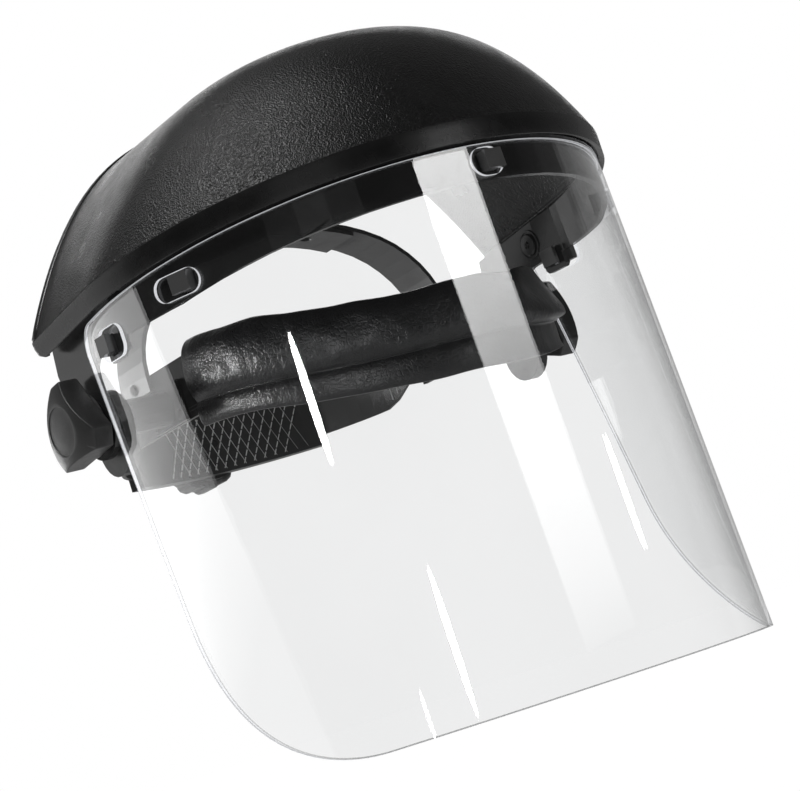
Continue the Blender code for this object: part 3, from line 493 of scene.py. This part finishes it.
MATS = {
    "brow": plastic("brow_grained_black", 0.004, 0.008, rough=0.31, grain=1.0, grain_size=0.65, cloud=22.0,
                    depth=0.00034),
    "rim": plastic("brow_satin_rim", 0.004, 0.008, rough=0.26, grain=0.15, grain_size=0.3, cloud=40.0,
                   coat=0.12, wear=0.02, level=0.45),
    "carrier": plastic("carrier_gloss_black", 0.004, 0.008, rough=0.18, grain=0.12, grain_size=0.4, cloud=35.0,
                       coat=0.25, wear=0.02),
    "hook": plastic("hook_gloss_black", 0.004, 0.007, rough=0.20, grain=0.12, grain_size=0.4, cloud=60.0,
                    coat=0.3, wear=0.08),
    "harness": plastic("harness_moulded_black", 0.006, 0.011, rough=0.34, grain=0.25, cloud=60.0, wear=0.02,
                       level=0.4),
    "strap": plastic("strap_soft_black", 0.012, 0.022, rough=0.40, grain=0.22, grain_size=0.7, cloud=45.0,
                     wear=0.05),
    "knob": plastic("knob_satin_grey_black", 0.020, 0.028, rough=0.36, grain=0.22, grain_size=0.35, cloud=80.0,
                    wear=0.05),
    "rubber": plastic("washer_black_rubber", 0.005, 0.009, rough=0.62, grain=0.35, grain_size=0.4, cloud=90.0,
                      wear=0.01, level=0.3),
    # the ribs' pale colour is painted highlight: it stands in for the light along the raised lines of the
    # black lattice, ribs and teeth
    "rib": plastic("rib_painted_highlight", 0.26, 0.42, rough=0.22, grain=0.2, grain_size=0.4, cloud=60.0, wear=0.2,
                   level=0.9),
    "leather": leather("pad_black_leather"),
    "steel": metal("bright_zinc_steel", (0.50, 0.51, 0.52), (0.72, 0.72, 0.71), 0.30),
    "dark_steel": metal("blackened_steel", (0.05, 0.05, 0.052), (0.10, 0.10, 0.10), 0.38),
    "brass": metal("turned_brass", (0.55, 0.38, 0.14), (0.75, 0.55, 0.24), 0.28),
    "clear": clear_sheet("visor_clear_sheet", (0.968, 0.970, 0.971), 0.98),
    "clear_edge_painted_glow": glowing_sheet_edge("visor_cut_edge_painted_glow"),
    "line": edge_line("visor_edge_shade"),
}

# Material of each CAD node, by the longest start of its name that is listed
FINISH = {"visor": "clear", "brow_guard": "brow", "visor_carrier": "carrier", "hook": "hook",
          "front_band": "harness", "sweatband": "leather", "bracket_rivet": "harness",
          "pivot_bracket": "harness", "pivot_stud": "dark_steel", "friction_washer": "rubber",
          "outer_washer": "rubber", "side_knob": "knob", "knob_insert": "brass",
          "crown_strap": "strap", "crown_stud": "harness", "crown_rivet": "harness",
          "nape_plate": "harness", "nape_cover": "harness", "nape_screw": "steel", "rear_strap": "strap",
          "rack": "strap", "pinion": "harness", "detent_ring": "harness", "click_spring": "steel",
          "ratchet_knob": "knob", "ratchet_screw": "steel"}


def finish_cad():
    for name, obj in frame["nodes"].items():
        key = max((k for k in FINISH if name.startswith(k)), key=len)
        for slot in obj.material_slots:
            slot.material = MATS[FINISH[key]]
        obj.data.shade_smooth()
        obj.data.set_sharp_from_angle(angle=radians(32))
        if name.startswith("hook"):
            edge = obj.modifiers.new("edge", "BEVEL")
            edge.width = 0.35 * MM
            edge.segments = 2
            edge.limit_method = "ANGLE"
            edge.angle_limit = radians(40)


# ---------------------------------------------------------------- visor

def visor_radius(height):
    return VISOR_R - VISOR_TAPER * height


def visor_place(arc, depth, height):
    """Point in the bent sheet: along its bend, how deep under its outer face, over its lower edge."""
    radius = visor_radius(height)
    turn = arc / radius
    return ((radius - depth) * sin(turn), VISOR_Y + VISOR_LEAN * height - (radius - depth) * cos(turn),
            VISOR_Z + height)


def brow_rim(y):
    return RIM_Z - RIM_SLOPE * (y - (BROW_Y - BROW_R))


def visor_top(arc):
    return brow_rim(BROW_Y - BROW_R * cos(arc / visor_radius(VISOR_TOP))) - VISOR_Z - VISOR_TOP_GAP


def visor_outline():
    half = [(0.0, 0.0), (BOTTOM_MARK, 0.0)]
    corner = VISOR_HALF_WIDTH + VISOR_SPREAD * VISOR_CORNER - VISOR_CORNER * sqrt(1 + VISOR_SPREAD ** 2)
    half += arc_points(corner, VISOR_CORNER, VISOR_CORNER, -pi / 2, -VISOR_SPREAD, 40)
    top_arc = VISOR_HALF_WIDTH + VISOR_SPREAD * VISOR_SHOULDER - VISOR_TOP_CORNER
    half += arc_points(top_arc, visor_top(top_arc) - VISOR_TOP_CORNER, VISOR_TOP_CORNER, 0, pi / 2, 12)
    half += [(arc, visor_top(arc)) for arc in range(180, -1, -SHEET_CUT)]
    return half + [(-x, y) for x, y in reversed(half) if x > 0.001]


def make_visor():
    loops = [visor_outline(), rounded_slot(*LUG_CENTRE, *SLOT_CENTRE)]
    for s in (-1, 1):
        loops.append(rounded_slot(s * (LUG_FRONT[0] + SLOT_SHIFT_FRONT), LUG_FRONT[1], *SLOT_FRONT))
        loops.append(rounded_slot(s * (LUG_SIDE[0] + SLOT_SHIFT_SIDE), LUG_SIDE[1], *SLOT_SIDE))
    bm = flat_plate("visor_flat", loops, VISOR_THICK)
    for arc in range(-188, 189, SHEET_CUT):
        whole = bm.verts[:] + bm.edges[:] + bm.faces[:]
        place = ((arc + SHEET_CUT_OFFSET) * MM, 0, 0)
        bmesh.ops.bisect_plane(bm, geom=whole, plane_co=place, plane_no=(1, 0, 0))
    for face in bm.faces:
        face.material_index = 0 if abs(face.normal.z) > 0.5 else 1
    for v in bm.verts:
        v.co = Vector(visor_place(v.co.x / MM, v.co.z / MM + VISOR_THICK / 2, v.co.y / MM)) * MM
    piece("visor_sheet", finish_mesh("visor_sheet", bm), [MATS["clear"], MATS["clear_edge_painted_glow"]], "shield",
          ["visor"])


def make_edge_lines():
    """Fine shade lines inside the sheet's cut edge, by its outer and its inner face."""
    outline = visor_outline()
    dense = []
    for (x0, y0), (x1, y1) in zip(outline, outline[1:] + outline[:1]):
        steps = max(1, int(hypot(x1 - x0, y1 - y0) / SHEET_CUT))
        dense += [(x0 + (x1 - x0) * k / steps, y0 + (y1 - y0) * k / steps) for k in range(steps)]
    start, end, deep = EDGE_LINE
    for name, depth in (("visor_edge_outer", start), ("visor_edge_inner", VISOR_THICK - start)):
        bm = bmesh.new()
        rings = []
        for k, (x, y) in enumerate(dense):
            ax, ay = dense[k - 1]
            bx, by = dense[(k + 1) % len(dense)]
            along = Vector((bx - ax, by - ay)).normalized()
            inward = Vector((-along.y, along.x))
            ring = []
            for a, z in ((start, -deep), (end, -deep), (end, deep), (start, deep)):
                q = Vector((x, y)) + inward * a
                ring.append(bm.verts.new(Vector(visor_place(q.x, depth + z, q.y)) * MM))
            rings.append(ring)
        for a, b in zip(rings, rings[1:] + rings[:1]):
            bridge(bm, a, b)
        piece(name, finish_mesh(name, bm, 30), [MATS["line"]], "shield")


# ---------------------------------------------------------------- brow guard

def brow_row(radius, shift, height_of, rear=BROW_REAR_Y):
    """Points along a half circle with straight sides back to the rear edge, at the height given for each y."""
    centre = BROW_Y + shift
    sides = [1.0, 0.98, 0.9, 0.8, 0.65, 0.5, 0.35, 0.2, 0.1]
    row = [(-radius, centre + (rear - centre) * t) for t in sides]
    turns = [-pi / 2 + pi * i / 72 for i in range(73)]
    row += [(radius * sin(turn), centre - radius * cos(turn)) for turn in turns]
    row += [(radius, centre + (rear - centre) * t) for t in reversed(sides)]
    return [(x, y, height_of(y)) for x, y in row]


def crown_height(k, y):
    """Height of the dome where it has drawn in to the share k of its rim."""
    rise = 1 - k ** CROWN_SHAPE
    return (brow_rim(y) + RIM_BAND) * (1 - rise) + (RIM_Z + RIM_BAND + CROWN_RISE) * rise


def make_brow():
    rows = []
    for up, out, rear in RIM_PROFILE:
        rows.append(brow_row(BROW_R + out, 0, lambda y, up=up: brow_rim(y) + up, BROW_REAR_Y + rear))
    for i in range(1, CROWN_STEPS + 1):
        k = cos(i / CROWN_STEPS * pi / 2) ** 0.9 if i < CROWN_STEPS else 0.0
        rise = 1 - k ** CROWN_SHAPE
        rows.append(brow_row(BROW_R * k, (CROWN_Y - BROW_Y) * rise, lambda y, k=k: crown_height(k, y)))
    bm = sheet(rows)
    for face in bm.faces:
        mid = face.calc_center_median() / MM
        low = mid.z < brow_rim(mid.y) + RIM_BAND - 0.4 and hypot(mid.x, min(mid.y - BROW_Y, 0)) > BROW_R - 0.8
        face.material_index = 1 if low else 0
    obj = piece("brow_shell", finish_mesh("brow_shell", bm, 24), [MATS["brow"], MATS["rim"]], "shield",
                ["brow_guard"])
    wall = obj.modifiers.new("thickness", "SOLIDIFY")
    wall.thickness = BROW_THICK * MM
    wall.offset = -1.0


def make_brow_lip():
    """Raised bead along the guard's rear edge."""
    y = BROW_REAR_Y - 1.7
    shares = [1.0 - i * 0.02 for i in range(10)] + [0.8 - i * 0.04 for i in range(20)]
    right = [(-BROW_R, brow_rim(y) + RIM_BAND - 0.4)] + [(-BROW_R * k, crown_height(k, y)) for k in shares]
    path = right + [(0.0, crown_height(0.0, y))] + [(-x, z) for x, z in reversed(right)]
    points = [Vector((x, y, z)) for x, z in path]

    def profile(i, share):
        a, b = points[max(i - 1, 0)], points[min(i + 1, len(points) - 1)]
        out = Vector((0, 1, 0)).cross((b - a).normalized())
        if out.dot(Vector((points[i].x, 0, points[i].z - 20))) < 0:
            out = -out
        grow = min(1.0, min(share, 1 - share) * 30 + 0.35)
        section = [(dy, dz * grow if dz > 0 else dz) for dy, dz in BEAD_PROFILE]
        return [points[i] + Vector((0, dy, 0)) + out * dz for dy, dz in section]

    bm = tube(len(points), profile)
    piece("brow_rear_bead", finish_mesh("brow_rear_bead", bm, 50), [MATS["rim"]], "shield")


# ---------------------------------------------------------------- sweatband

def band_point(turn, offset, height):
    """Point by the front band's own curve, offset outwards from its outer face."""
    x = (RING_HALF + offset) * sin(turn)
    y = RING_FRONT_Y - (RING_FRONT + offset) * cos(turn)
    z = BAND_FRONT_Z + (BAND_SIDE_Z - BAND_FRONT_Z) * abs(sin(turn)) ** 3
    return Vector((x, y, z + height))


def seam_shift(turn, height):
    """How far the sleeve's seam, and what is by it, lies above its mean height at that place."""
    near = max(0.0, 1 - ((height + 7.2) / 8.5) ** 2)
    return (1.6 - 3.2 * sin(turn) ** 2) * near


def make_pad():
    """Leather sleeve over the band: puffed roll above, seam at half height, thin flap below.

    It ends straight on the wearer's right. On the left the roll rises into a fold and runs out flat."""

    def profile(i, share):
        turn = -PAD_REACH + 2 * PAD_REACH * share
        arc = turn * PAD_MEAN_R
        full = min(1.0, 0.80 + i / 6.0 * 0.20)
        tail = min(1.0, max(0.0, (turn - PAD_TAPER) / (PAD_REACH - PAD_TAPER) * 1.25)) ** 2
        fold = 0.85 * smooth(min(1.0, max(0.0, (turn - PAD_FOLD[0]) / (PAD_FOLD[1] - PAD_FOLD[0]))))
        ring = []
        for offset, height in PAD_PROFILE:
            outer = offset > 1.2 or height > 13.2
            roll = height > -6.6
            off, h = offset, height
            if outer and roll:
                core = 0.6 if offset > 0.6 else -3.0
                off = core + (offset - core) * full
            p = Vector((arc / 12.0, height / 8.0, 3.7))
            wave = noise.noise(p) * 0.9 + noise.noise(p * 2.3) * 0.45
            pull = noise.noise(Vector((arc / 3.0, height / 15.0, 9.1))) * 0.45
            if outer and roll:
                off += wave * 0.8 + pull * max(0.0, 1 - abs(height + 4.0) / 5.0)
                if height > 13.0:
                    h += noise.noise(Vector((arc / 19.0, 1.3, 0.2))) * 1.6
            elif outer:
                off += wave * 0.25 + pull * max(0.0, 1 - abs(height + 9.0) / 3.5) * 0.5
                if height < -16.0:
                    h += noise.noise(Vector((arc / 24.0, 8.3, 0.2))) * 0.9
            if outer and height > -17.0:
                peak = 8.4 - 0.48 * max(0.0, height + 3.4) if roll else 1.7
                off += (max(peak, 0.2) - off) * fold
            if outer:
                h += seam_shift(turn, height)
                h += (-7.0 - h) * (0.62 if h > -7.0 else 0.25) * tail
                if offset > 0.6:
                    off += (1.9 - off) * 0.55 * tail
            elif height > 8.0:
                h -= 5.0 * tail
            ring.append(band_point(turn, off, h))
        return ring

    bm = tube(PAD_STEPS + 1, profile)
    obj = piece("sweatband_pad", finish_mesh("sweatband_pad", bm, 60), [MATS["leather"]], "headband",
                ["sweatband"])
    soft = obj.modifiers.new("smooth", "SUBSURF")
    soft.levels = soft.render_levels = 1


def make_seam():
    """Stitched cord along the pad's seam."""

    def profile(i, share):
        turn = (-PAD_REACH + 0.01) + (2 * PAD_REACH - 0.14) * share
        mid = band_point(turn, PAD_SEAM[0], PAD_SEAM[1] + seam_shift(turn, PAD_SEAM[1]))
        out = Vector((sin(turn), -cos(turn), 0))
        around = [tau * j / 8 for j in range(8)]
        return [mid + out * (SEAM_SIZE * cos(a)) + Vector((0, 0, SEAM_SIZE * sin(a))) for a in around]

    mesh = finish_mesh("pad_seam_cord", tube(SEAM_STEPS + 1, profile), 60)
    piece("pad_seam_cord", mesh, [MATS["leather"]], "headband")


# ---------------------------------------------------------------- small moulded detail

def make_wing_boss(side, word):
    """Round moulded boss with a cross recess on the inner face of the carrier wing."""
    x, y, z = WING_BOSS
    facing = Matrix.Translation((side * x, y, z)) @ Matrix.Rotation(-side * pi / 2, 4, "Y")
    bm = bmesh.new()
    lathe(bm, BOSS_PROFILE, 40, facing)
    for wide, high in ((3.2, 0.55), (0.55, 3.2)):
        size = Matrix.Diagonal((wide, high, 0.7, 1))
        place = Matrix.Scale(MM, 4) @ facing @ Matrix.Translation((0, 0, 1.25)) @ size
        bmesh.ops.create_cube(bm, size=1.0, matrix=place)
    name = "wing_boss_" + word
    piece(name, finish_mesh(name, bm, 30), [MATS["carrier"]], "shield")


def knob_outline(turn):
    """Cut-off triangle with softened corners, as points round the knob's axis."""
    sides = [(turn + k * pi / 3, KNOB_CORNER if k % 2 == 0 else KNOB_FLAT) for k in range(6)]
    corners = []
    for (t1, d1), (t2, d2) in zip(sides, sides[1:] + sides[:1]):
        a, b = d1 - KNOB_ROUND, d2 - KNOB_ROUND
        turned = sin(t2 - t1)
        cx = (a * sin(t2) - b * sin(t1)) / turned
        cy = (b * cos(t1) - a * cos(t2)) / turned
        corners.append(arc_points(cx, cy, KNOB_ROUND, t1, t1 + pi / 3, 6))
    points = []
    for k, corner in enumerate(corners):
        points += corner
        (x0, y0), (x1, y1) = corner[-1], corners[(k + 1) % 6][0]
        steps = 12 if k % 2 == 0 else 4
        points += [(x0 + (x1 - x0) * i / steps, y0 + (y1 - y0) * i / steps) for i in range(1, steps)]
    return points


def make_knob(side, word, turn):
    """Three-sided grip with a domed face, a shallow round dish in it and a plain collar."""
    outline = knob_outline(turn)

    def dome(u, v):
        return KNOB_TOP - KNOB_DOME * (u * u + v * v) / KNOB_CORNER ** 2

    rings = [[(u * scale, v * scale, x) for u, v in outline] for x, scale in KNOB_SKIRT]
    for scale, drop in KNOB_SHOULDER:
        rings.append([(u * scale, v * scale, dome(u * scale, v * scale) - drop) for u, v in outline])
    edge = KNOB_SHOULDER[-1][0]
    for t in (0.2, 0.4, 0.6, 0.8, 1.0):
        reaches = [edge + (KNOB_DISH / hypot(u, v) - edge) * t for u, v in outline]
        rings.append([(u * r, v * r, dome(u * r, v * r)) for (u, v), r in zip(outline, reaches)])
    for r, drop in KNOB_HOLLOW:
        rings.append([(u * r / hypot(u, v), v * r / hypot(u, v), dome(r, 0) - drop) for u, v in outline])

    def point(u, v, x):
        return Vector((side * x, v, u)) * MM

    bm = bmesh.new()
    verts = [[bm.verts.new(point(*p)) for p in ring] for ring in rings]
    for low, high in zip(verts, verts[1:]):
        bridge(bm, low, high)
    top = bm.verts.new(point(0, 0, dome(0, 0) - 1.05))
    back = bm.verts.new(point(0, 0, KNOB_BACK))
    n = len(outline)
    for k in range(n):
        bm.faces.new((verts[-1][k], verts[-1][(k + 1) % n], top))
        bm.faces.new((verts[0][k], verts[0][(k + 1) % n], back))
    lathe(bm, KNOB_COLLAR, 72, Matrix.Rotation(side * pi / 2, 4, "Y"))
    name = "side_knob_grip_" + word
    piece(name, finish_mesh(name, bm, 38), [MATS["knob"]], "knob_" + word,
          ["side_knob_" + word])


def make_bars(name, ends, mat, body):
    """Small raised bars, each given by its two end faces in mm."""
    bm = bmesh.new()
    for low, high in ends:
        add_bar(bm, low, high)
    piece(name, finish_mesh(name, bm, 20), [mat], body)


def make_band_lines():
    """Two fine raised lines along the lower part of the band's outer face."""
    for k, height in enumerate(LINE_HEIGHTS):

        def profile(i, share, height=height):
            return [band_point(radians(-90 + 180 * share), off, height + dz) for off, dz in LINE_PROFILE]

        bm = tube(LINE_STEPS + 1, profile)
        piece("band_line_%d" % (k + 1), finish_mesh("band_line", bm, 30), [MATS["strap"]], "headband")


def make_band_line_ends(side, word):
    """The lines' straight ends, from the bend back to the pivot bracket."""
    ends = []
    for height in LINE_HEIGHTS:
        section = [(side * (RING_HALF + off), BAND_SIDE_Z + height + dz) for off, dz in LINE_PROFILE]
        ends.append([[(x, y, z) for x, z in section] for y in LINE_END_Y])
    make_bars("band_line_end_" + word, ends, MATS["strap"], "headband")


def make_rear_strap_ribs(side, word):
    """Short ribs on the inner face of the rear strap."""
    (band_low, band_high), (nape_low, nape_high) = STRAP_Z
    ends = []
    for y in (50.0, 54.0, 58.0):
        x = STRAP_HALF * cos(asin((y - RING_REAR_Y) / RING_REAR)) - 1.6
        spread = smooth(min((y - 35.0) / 30.0, 1.0))
        z0 = band_low + (nape_low - band_low) * spread + 2.0
        z1 = band_high + (nape_high - band_high) * spread - 2.0
        section = [(side * (x + dx), y + dy) for dx, dy in
                   ((-0.35, -0.5), (0.3, -0.5), (0.3, 0.5), (-0.35, 0.5))]
        ends.append([[(px, py, z) for px, py in section] for z in (z0, z1)])
    make_bars("rear_strap_ribs_" + word, ends, MATS["rib"], "nape_unit")


def make_crown_teeth():
    """Short teeth along the crown strap's lap."""
    ends = []
    for i in range(7):
        turn = radians(78 + i * 4.4)
        middle = Vector((CROWN_STRAP_HALF * cos(turn), 0, CROWN_STRAP_BASE + CROWN_STRAP_RISE * sin(turn)))
        along = Vector((-sin(turn), 0, cos(turn) * CROWN_STRAP_RISE / CROWN_STRAP_HALF)).normalized()
        up = Vector((0, 1, 0)).cross(along)
        up = up if up.z > 0 else -up
        base = middle + up * 2.0
        section = [base + along * da + up * du for da, du in
                   ((-0.35, -0.2), (0.35, -0.2), (0.35, 0.5), (-0.35, 0.5))]
        ends.append([[point + Vector((0, y, 0)) for point in section] for y in (9.0, 12.5)])
    make_bars("crown_strap_teeth", ends, MATS["rib"], "headband")


def make_lattice():
    """Raised lattice on the nape plate's inner face: bold dashed lines one way, hair lines the other."""
    bm = bmesh.new()

    def add_line(x, lean, width, gap):
        a, b = Vector((x + lean, -LATTICE_HALF)), Vector((x - lean, LATTICE_HALF))
        for n in range(DASHES):
            first, last = (a + (b - a) * t for t in ((n + gap) / DASHES, (n + 1 - gap) / DASHES))
            along = (last - first).normalized()
            side = Vector((-along.y, along.x)) * width / 2
            low, high = ([(r * sin(p.x / LATTICE_MEAN_R), NAPE_Y + r * cos(p.x / LATTICE_MEAN_R), NAPE_Z + p.y)
                          for p in (first - side, last - side, last + side, first + side)] for r in LATTICE_R)
            add_bar(bm, low, high)

    for i in range(LATTICE_LINES):
        x = LATTICE_START + LATTICE_PITCH * i
        add_line(x, *BOLD_LINE)
        add_line(x, *HAIR_LINE)
    piece("nape_lattice", finish_mesh("nape_lattice", bm, 20), [MATS["rib"]], "nape_unit")


# ---------------------------------------------------------------- light, floor and camera

# Area lights: name, azimuth and elevation in degrees, distance, width and height in metres, radiance
ROOM_PANELS = (("front_panel", 20, 8, 1.6, 0.5, 0.6, 1.7),
               ("top_panel", -135, 66, 1.4, 0.8, 0.6, 1.0),
               ("front_top_panel", -75, 58, 1.4, 0.60, 0.26, 16.0),
               ("side_panel", -145, 8, 1.4, 1.3, 0.75, 0.5),
               ("rear_panel", 148, 24, 1.7, 1.3, 0.6, 1.8),
               ("back_panel", 182, 3, 1.5, 1.0, 0.26, 2.4),
               ("front_low_panel", -38, 14, 1.6, 0.7, 0.4, 0.45),
               ("table_panel", 0, -89.9, 0.131, 3.0, 3.0, 0.15))
PAD_PANELS = (("pad_panel", -127, 6, 1.3, 0.50, 0.36, 32.0),
              ("pad_front_panel", -58, 6, 1.4, 0.7, 0.5, 3.2))
# The same, and the roll in degrees: narrow lamps that glint in the sheet
GLINTS = (("glint_a", -61.5, 10.3, 1.6, 0.075, 0.135, 60.0, -8),
          ("glint_b", -40.5, 1.9, 1.8, 0.075, 0.165, 60.0, -8),
          ("glint_c", 45.5, 4.0, 1.6, 0.045, 0.12, 50.0, -5),
          ("glint_d", -58.0, -1.1, 1.6, 0.03, 0.05, 30.0, 0))
LIGHT_AIM = (0, -0.05, -0.02)
VEIL_AIM = (0.0379, -0.0067, -0.0613)
CAMERA_PLACE = (-0.5661, -0.8472, -0.1390)
CAMERA_LOOK = (-35.22, -6.77, -17.89)       # azimuth, elevation and roll in degrees
FLOOR_HALF = 6.0


def look_matrix(position, azimuth, elevation, roll=0.0):
    """Place of a camera or light at that position, seen from what it looks at in that direction."""
    az, el = radians(azimuth), radians(elevation)
    back = Vector((sin(az) * cos(el), -cos(az) * cos(el), sin(el)))
    right = (-back).cross(Vector((0, 0, 1))).normalized()
    up = right.cross(-back)
    r = radians(roll)
    x = right * cos(r) + up * sin(r)
    y = up * cos(r) - right * sin(r)
    return Matrix.Translation(position) @ Matrix((x, y, back)).transposed().to_4x4()


def panel(name, azimuth, elevation, distance, width, height, radiance, roll=0.0, shape="RECTANGLE",
          aim=LIGHT_AIM):
    """Area light seen from its aim at that azimuth and elevation."""
    light = bpy.data.lights.new(name, "AREA")
    light.shape = shape
    light.size, light.size_y = width, height
    area = width * height * (pi / 4 if shape == "ELLIPSE" else 1)
    light.energy = radiance * pi * area
    obj = bpy.data.objects.new(name, light)
    az, el = radians(azimuth), radians(elevation)
    out = Vector((sin(az) * cos(el), -cos(az) * cos(el), sin(el)))
    obj.matrix_world = look_matrix(Vector(aim) + out * distance, azimuth, elevation, roll)
    obj.visible_camera = False
    bpy.context.scene.collection.objects.link(obj)
    return obj


def fade(light, stops):
    """Make an area light's strength follow its own height, from its lower edge at 0 to its upper edge at 1."""
    nt = Nodes(light.data)
    split = nt.add("ShaderNodeSeparateXYZ")
    nt.link(nt.add("ShaderNodeNewGeometry").outputs["Parametric"], split.inputs[0])
    nt.link(nt.ramp(split.outputs["Y"], stops), nt.tree.nodes["Emission"].inputs["Color"])


def light_only(name, lights, objects):
    """Let the lights reach only those objects."""
    lit = bpy.data.collections.new(name)
    for obj in objects:
        lit.objects.link(obj)
    for light in lights:
        light.light_linking.receiver_collection = lit


def make_world():
    """White where the camera sees it, and for the object a dim room that is lighter behind its left."""
    world = bpy.data.worlds.new("studio")
    bpy.context.scene.world = world
    nt = Nodes(world)
    nt.tree.nodes.clear()
    toward = nt.add("ShaderNodeVectorMath", operation="DOT_PRODUCT")
    toward.inputs[1].default_value = (0.56, 0.80, 0.20)
    nt.link(nt.add("ShaderNodeTexCoord").outputs["Generated"], toward.inputs[0])
    room = nt.add("ShaderNodeBackground")
    nt.link(nt.ramp(toward.outputs["Value"], [(0.05, 0.045), (0.8, 0.16)]), room.inputs["Color"])
    white = nt.add("ShaderNodeBackground", Color=(1.0, 1.0, 1.0, 1.0), Strength=1.0)
    seen = nt.add("ShaderNodeLightPath").outputs["Is Camera Ray"]
    mix = nt.add("ShaderNodeMixShader")
    for source, socket in zip((seen, room.outputs[0], white.outputs[0]), mix.inputs):
        nt.link(source, socket)
    nt.link(mix.outputs[0], nt.add("ShaderNodeOutputWorld").inputs["Surface"])
    bpy.context.scene.view_settings.view_transform = "Standard"
    bpy.context.scene.view_settings.look = "None"


def make_floor():
    nt = material("floor_white")
    nt.feed(nt.ramp(nt.noise(3.0), [(0.2, 0.035), (0.8, 0.045)]), "Base Color")
    nt.set(Roughness=1.0, Specular_IOR_Level=0.0, Emission_Color=(1.0, 1.0, 1.0, 1.0))
    seen = nt.add("ShaderNodeLightPath").outputs["Is Camera Ray"]
    nt.feed(nt.maths("ADD", nt.maths("MULTIPLY", seen, 0.70), 0.30), "Emission Strength")
    mesh = bpy.data.meshes.new("studio_floor")
    z = cad_box[0].z - 0.0004
    corners = [(x * FLOOR_HALF, y * FLOOR_HALF, z) for x, y in ((-1, -1), (1, -1), (1, 1), (-1, 1))]
    mesh.from_pydata(corners, [], [(0, 1, 2, 3)])
    floor = bpy.data.objects.new("studio_floor", mesh)
    floor.data.materials.append(nt.owner)
    bpy.context.scene.collection.objects.link(floor)


def make_lights():
    """Panels that only the sheet mirrors, panels that light the rest, and panels for pad and straps."""
    objects = bpy.data.objects
    veil = panel("veil_panel", -112.32, -3.96, 0.3, 0.26, 0.46, 2.5, roll=25.34, aim=VEIL_AIM)
    fade(veil, [(0.40, 0.16), (0.66, 1.0)])
    band = panel("band_panel", 17, 11.5, 1.5, 0.62, 0.62, 9.0)
    fade(band, [(0.0, 0.02), (0.11, 0.13), (0.23, 0.21), (0.39, 0.35), (0.55, 0.69), (0.80, 0.97)])
    glints = [panel(*numbers, shape="ELLIPSE") for numbers in GLINTS]
    back = panel("sheet_back_panel", 112, 8, 1.2, 1.5, 1.1, 0.22)
    light_only("lit_by_sheet_panels", [veil, band, *glints, back], [objects["visor_sheet"]])

    solid = [obj for obj in objects if obj.type == "MESH" and obj.name not in ("visor_sheet", "studio_floor")]
    light_only("lit_by_room_panels", [panel(*numbers) for numbers in ROOM_PANELS], solid)

    soft = [objects[name] for name in ("sweatband_pad", "pad_seam_cord", "nape_lattice", "crown_strap_teeth")]
    for _, word in SIDES:
        soft += [frame["nodes"]["crown_strap_" + word], frame["nodes"]["rear_strap_" + word]]
    light_only("lit_by_pad_panels", [panel(*numbers) for numbers in PAD_PANELS], soft)


def make_camera():
    camera = bpy.data.cameras.new("photo_camera")
    camera.lens = 112.5
    camera.sensor_width = 36.0
    camera.sensor_fit = "HORIZONTAL"
    obj = bpy.data.objects.new("photo_camera", camera)
    bpy.context.scene.collection.objects.link(obj)
    obj.matrix_world = look_matrix(Vector(CAMERA_PLACE), *CAMERA_LOOK)
    bpy.context.scene.camera = obj


make_camera()
finish_cad()
make_visor()
make_edge_lines()
make_brow()
make_brow_lip()
make_pad()
make_seam()
for side, word in SIDES:
    make_wing_boss(side, word)
for side, word in SIDES:
    make_knob(side, word, radians(KNOB_TURN[word]))
make_band_lines()
for side, word in SIDES:
    make_band_line_ends(side, word)
for side, word in SIDES:
    make_rear_strap_ribs(side, word)
make_crown_teeth()
make_lattice()
make_world()
make_floor()
make_lights()
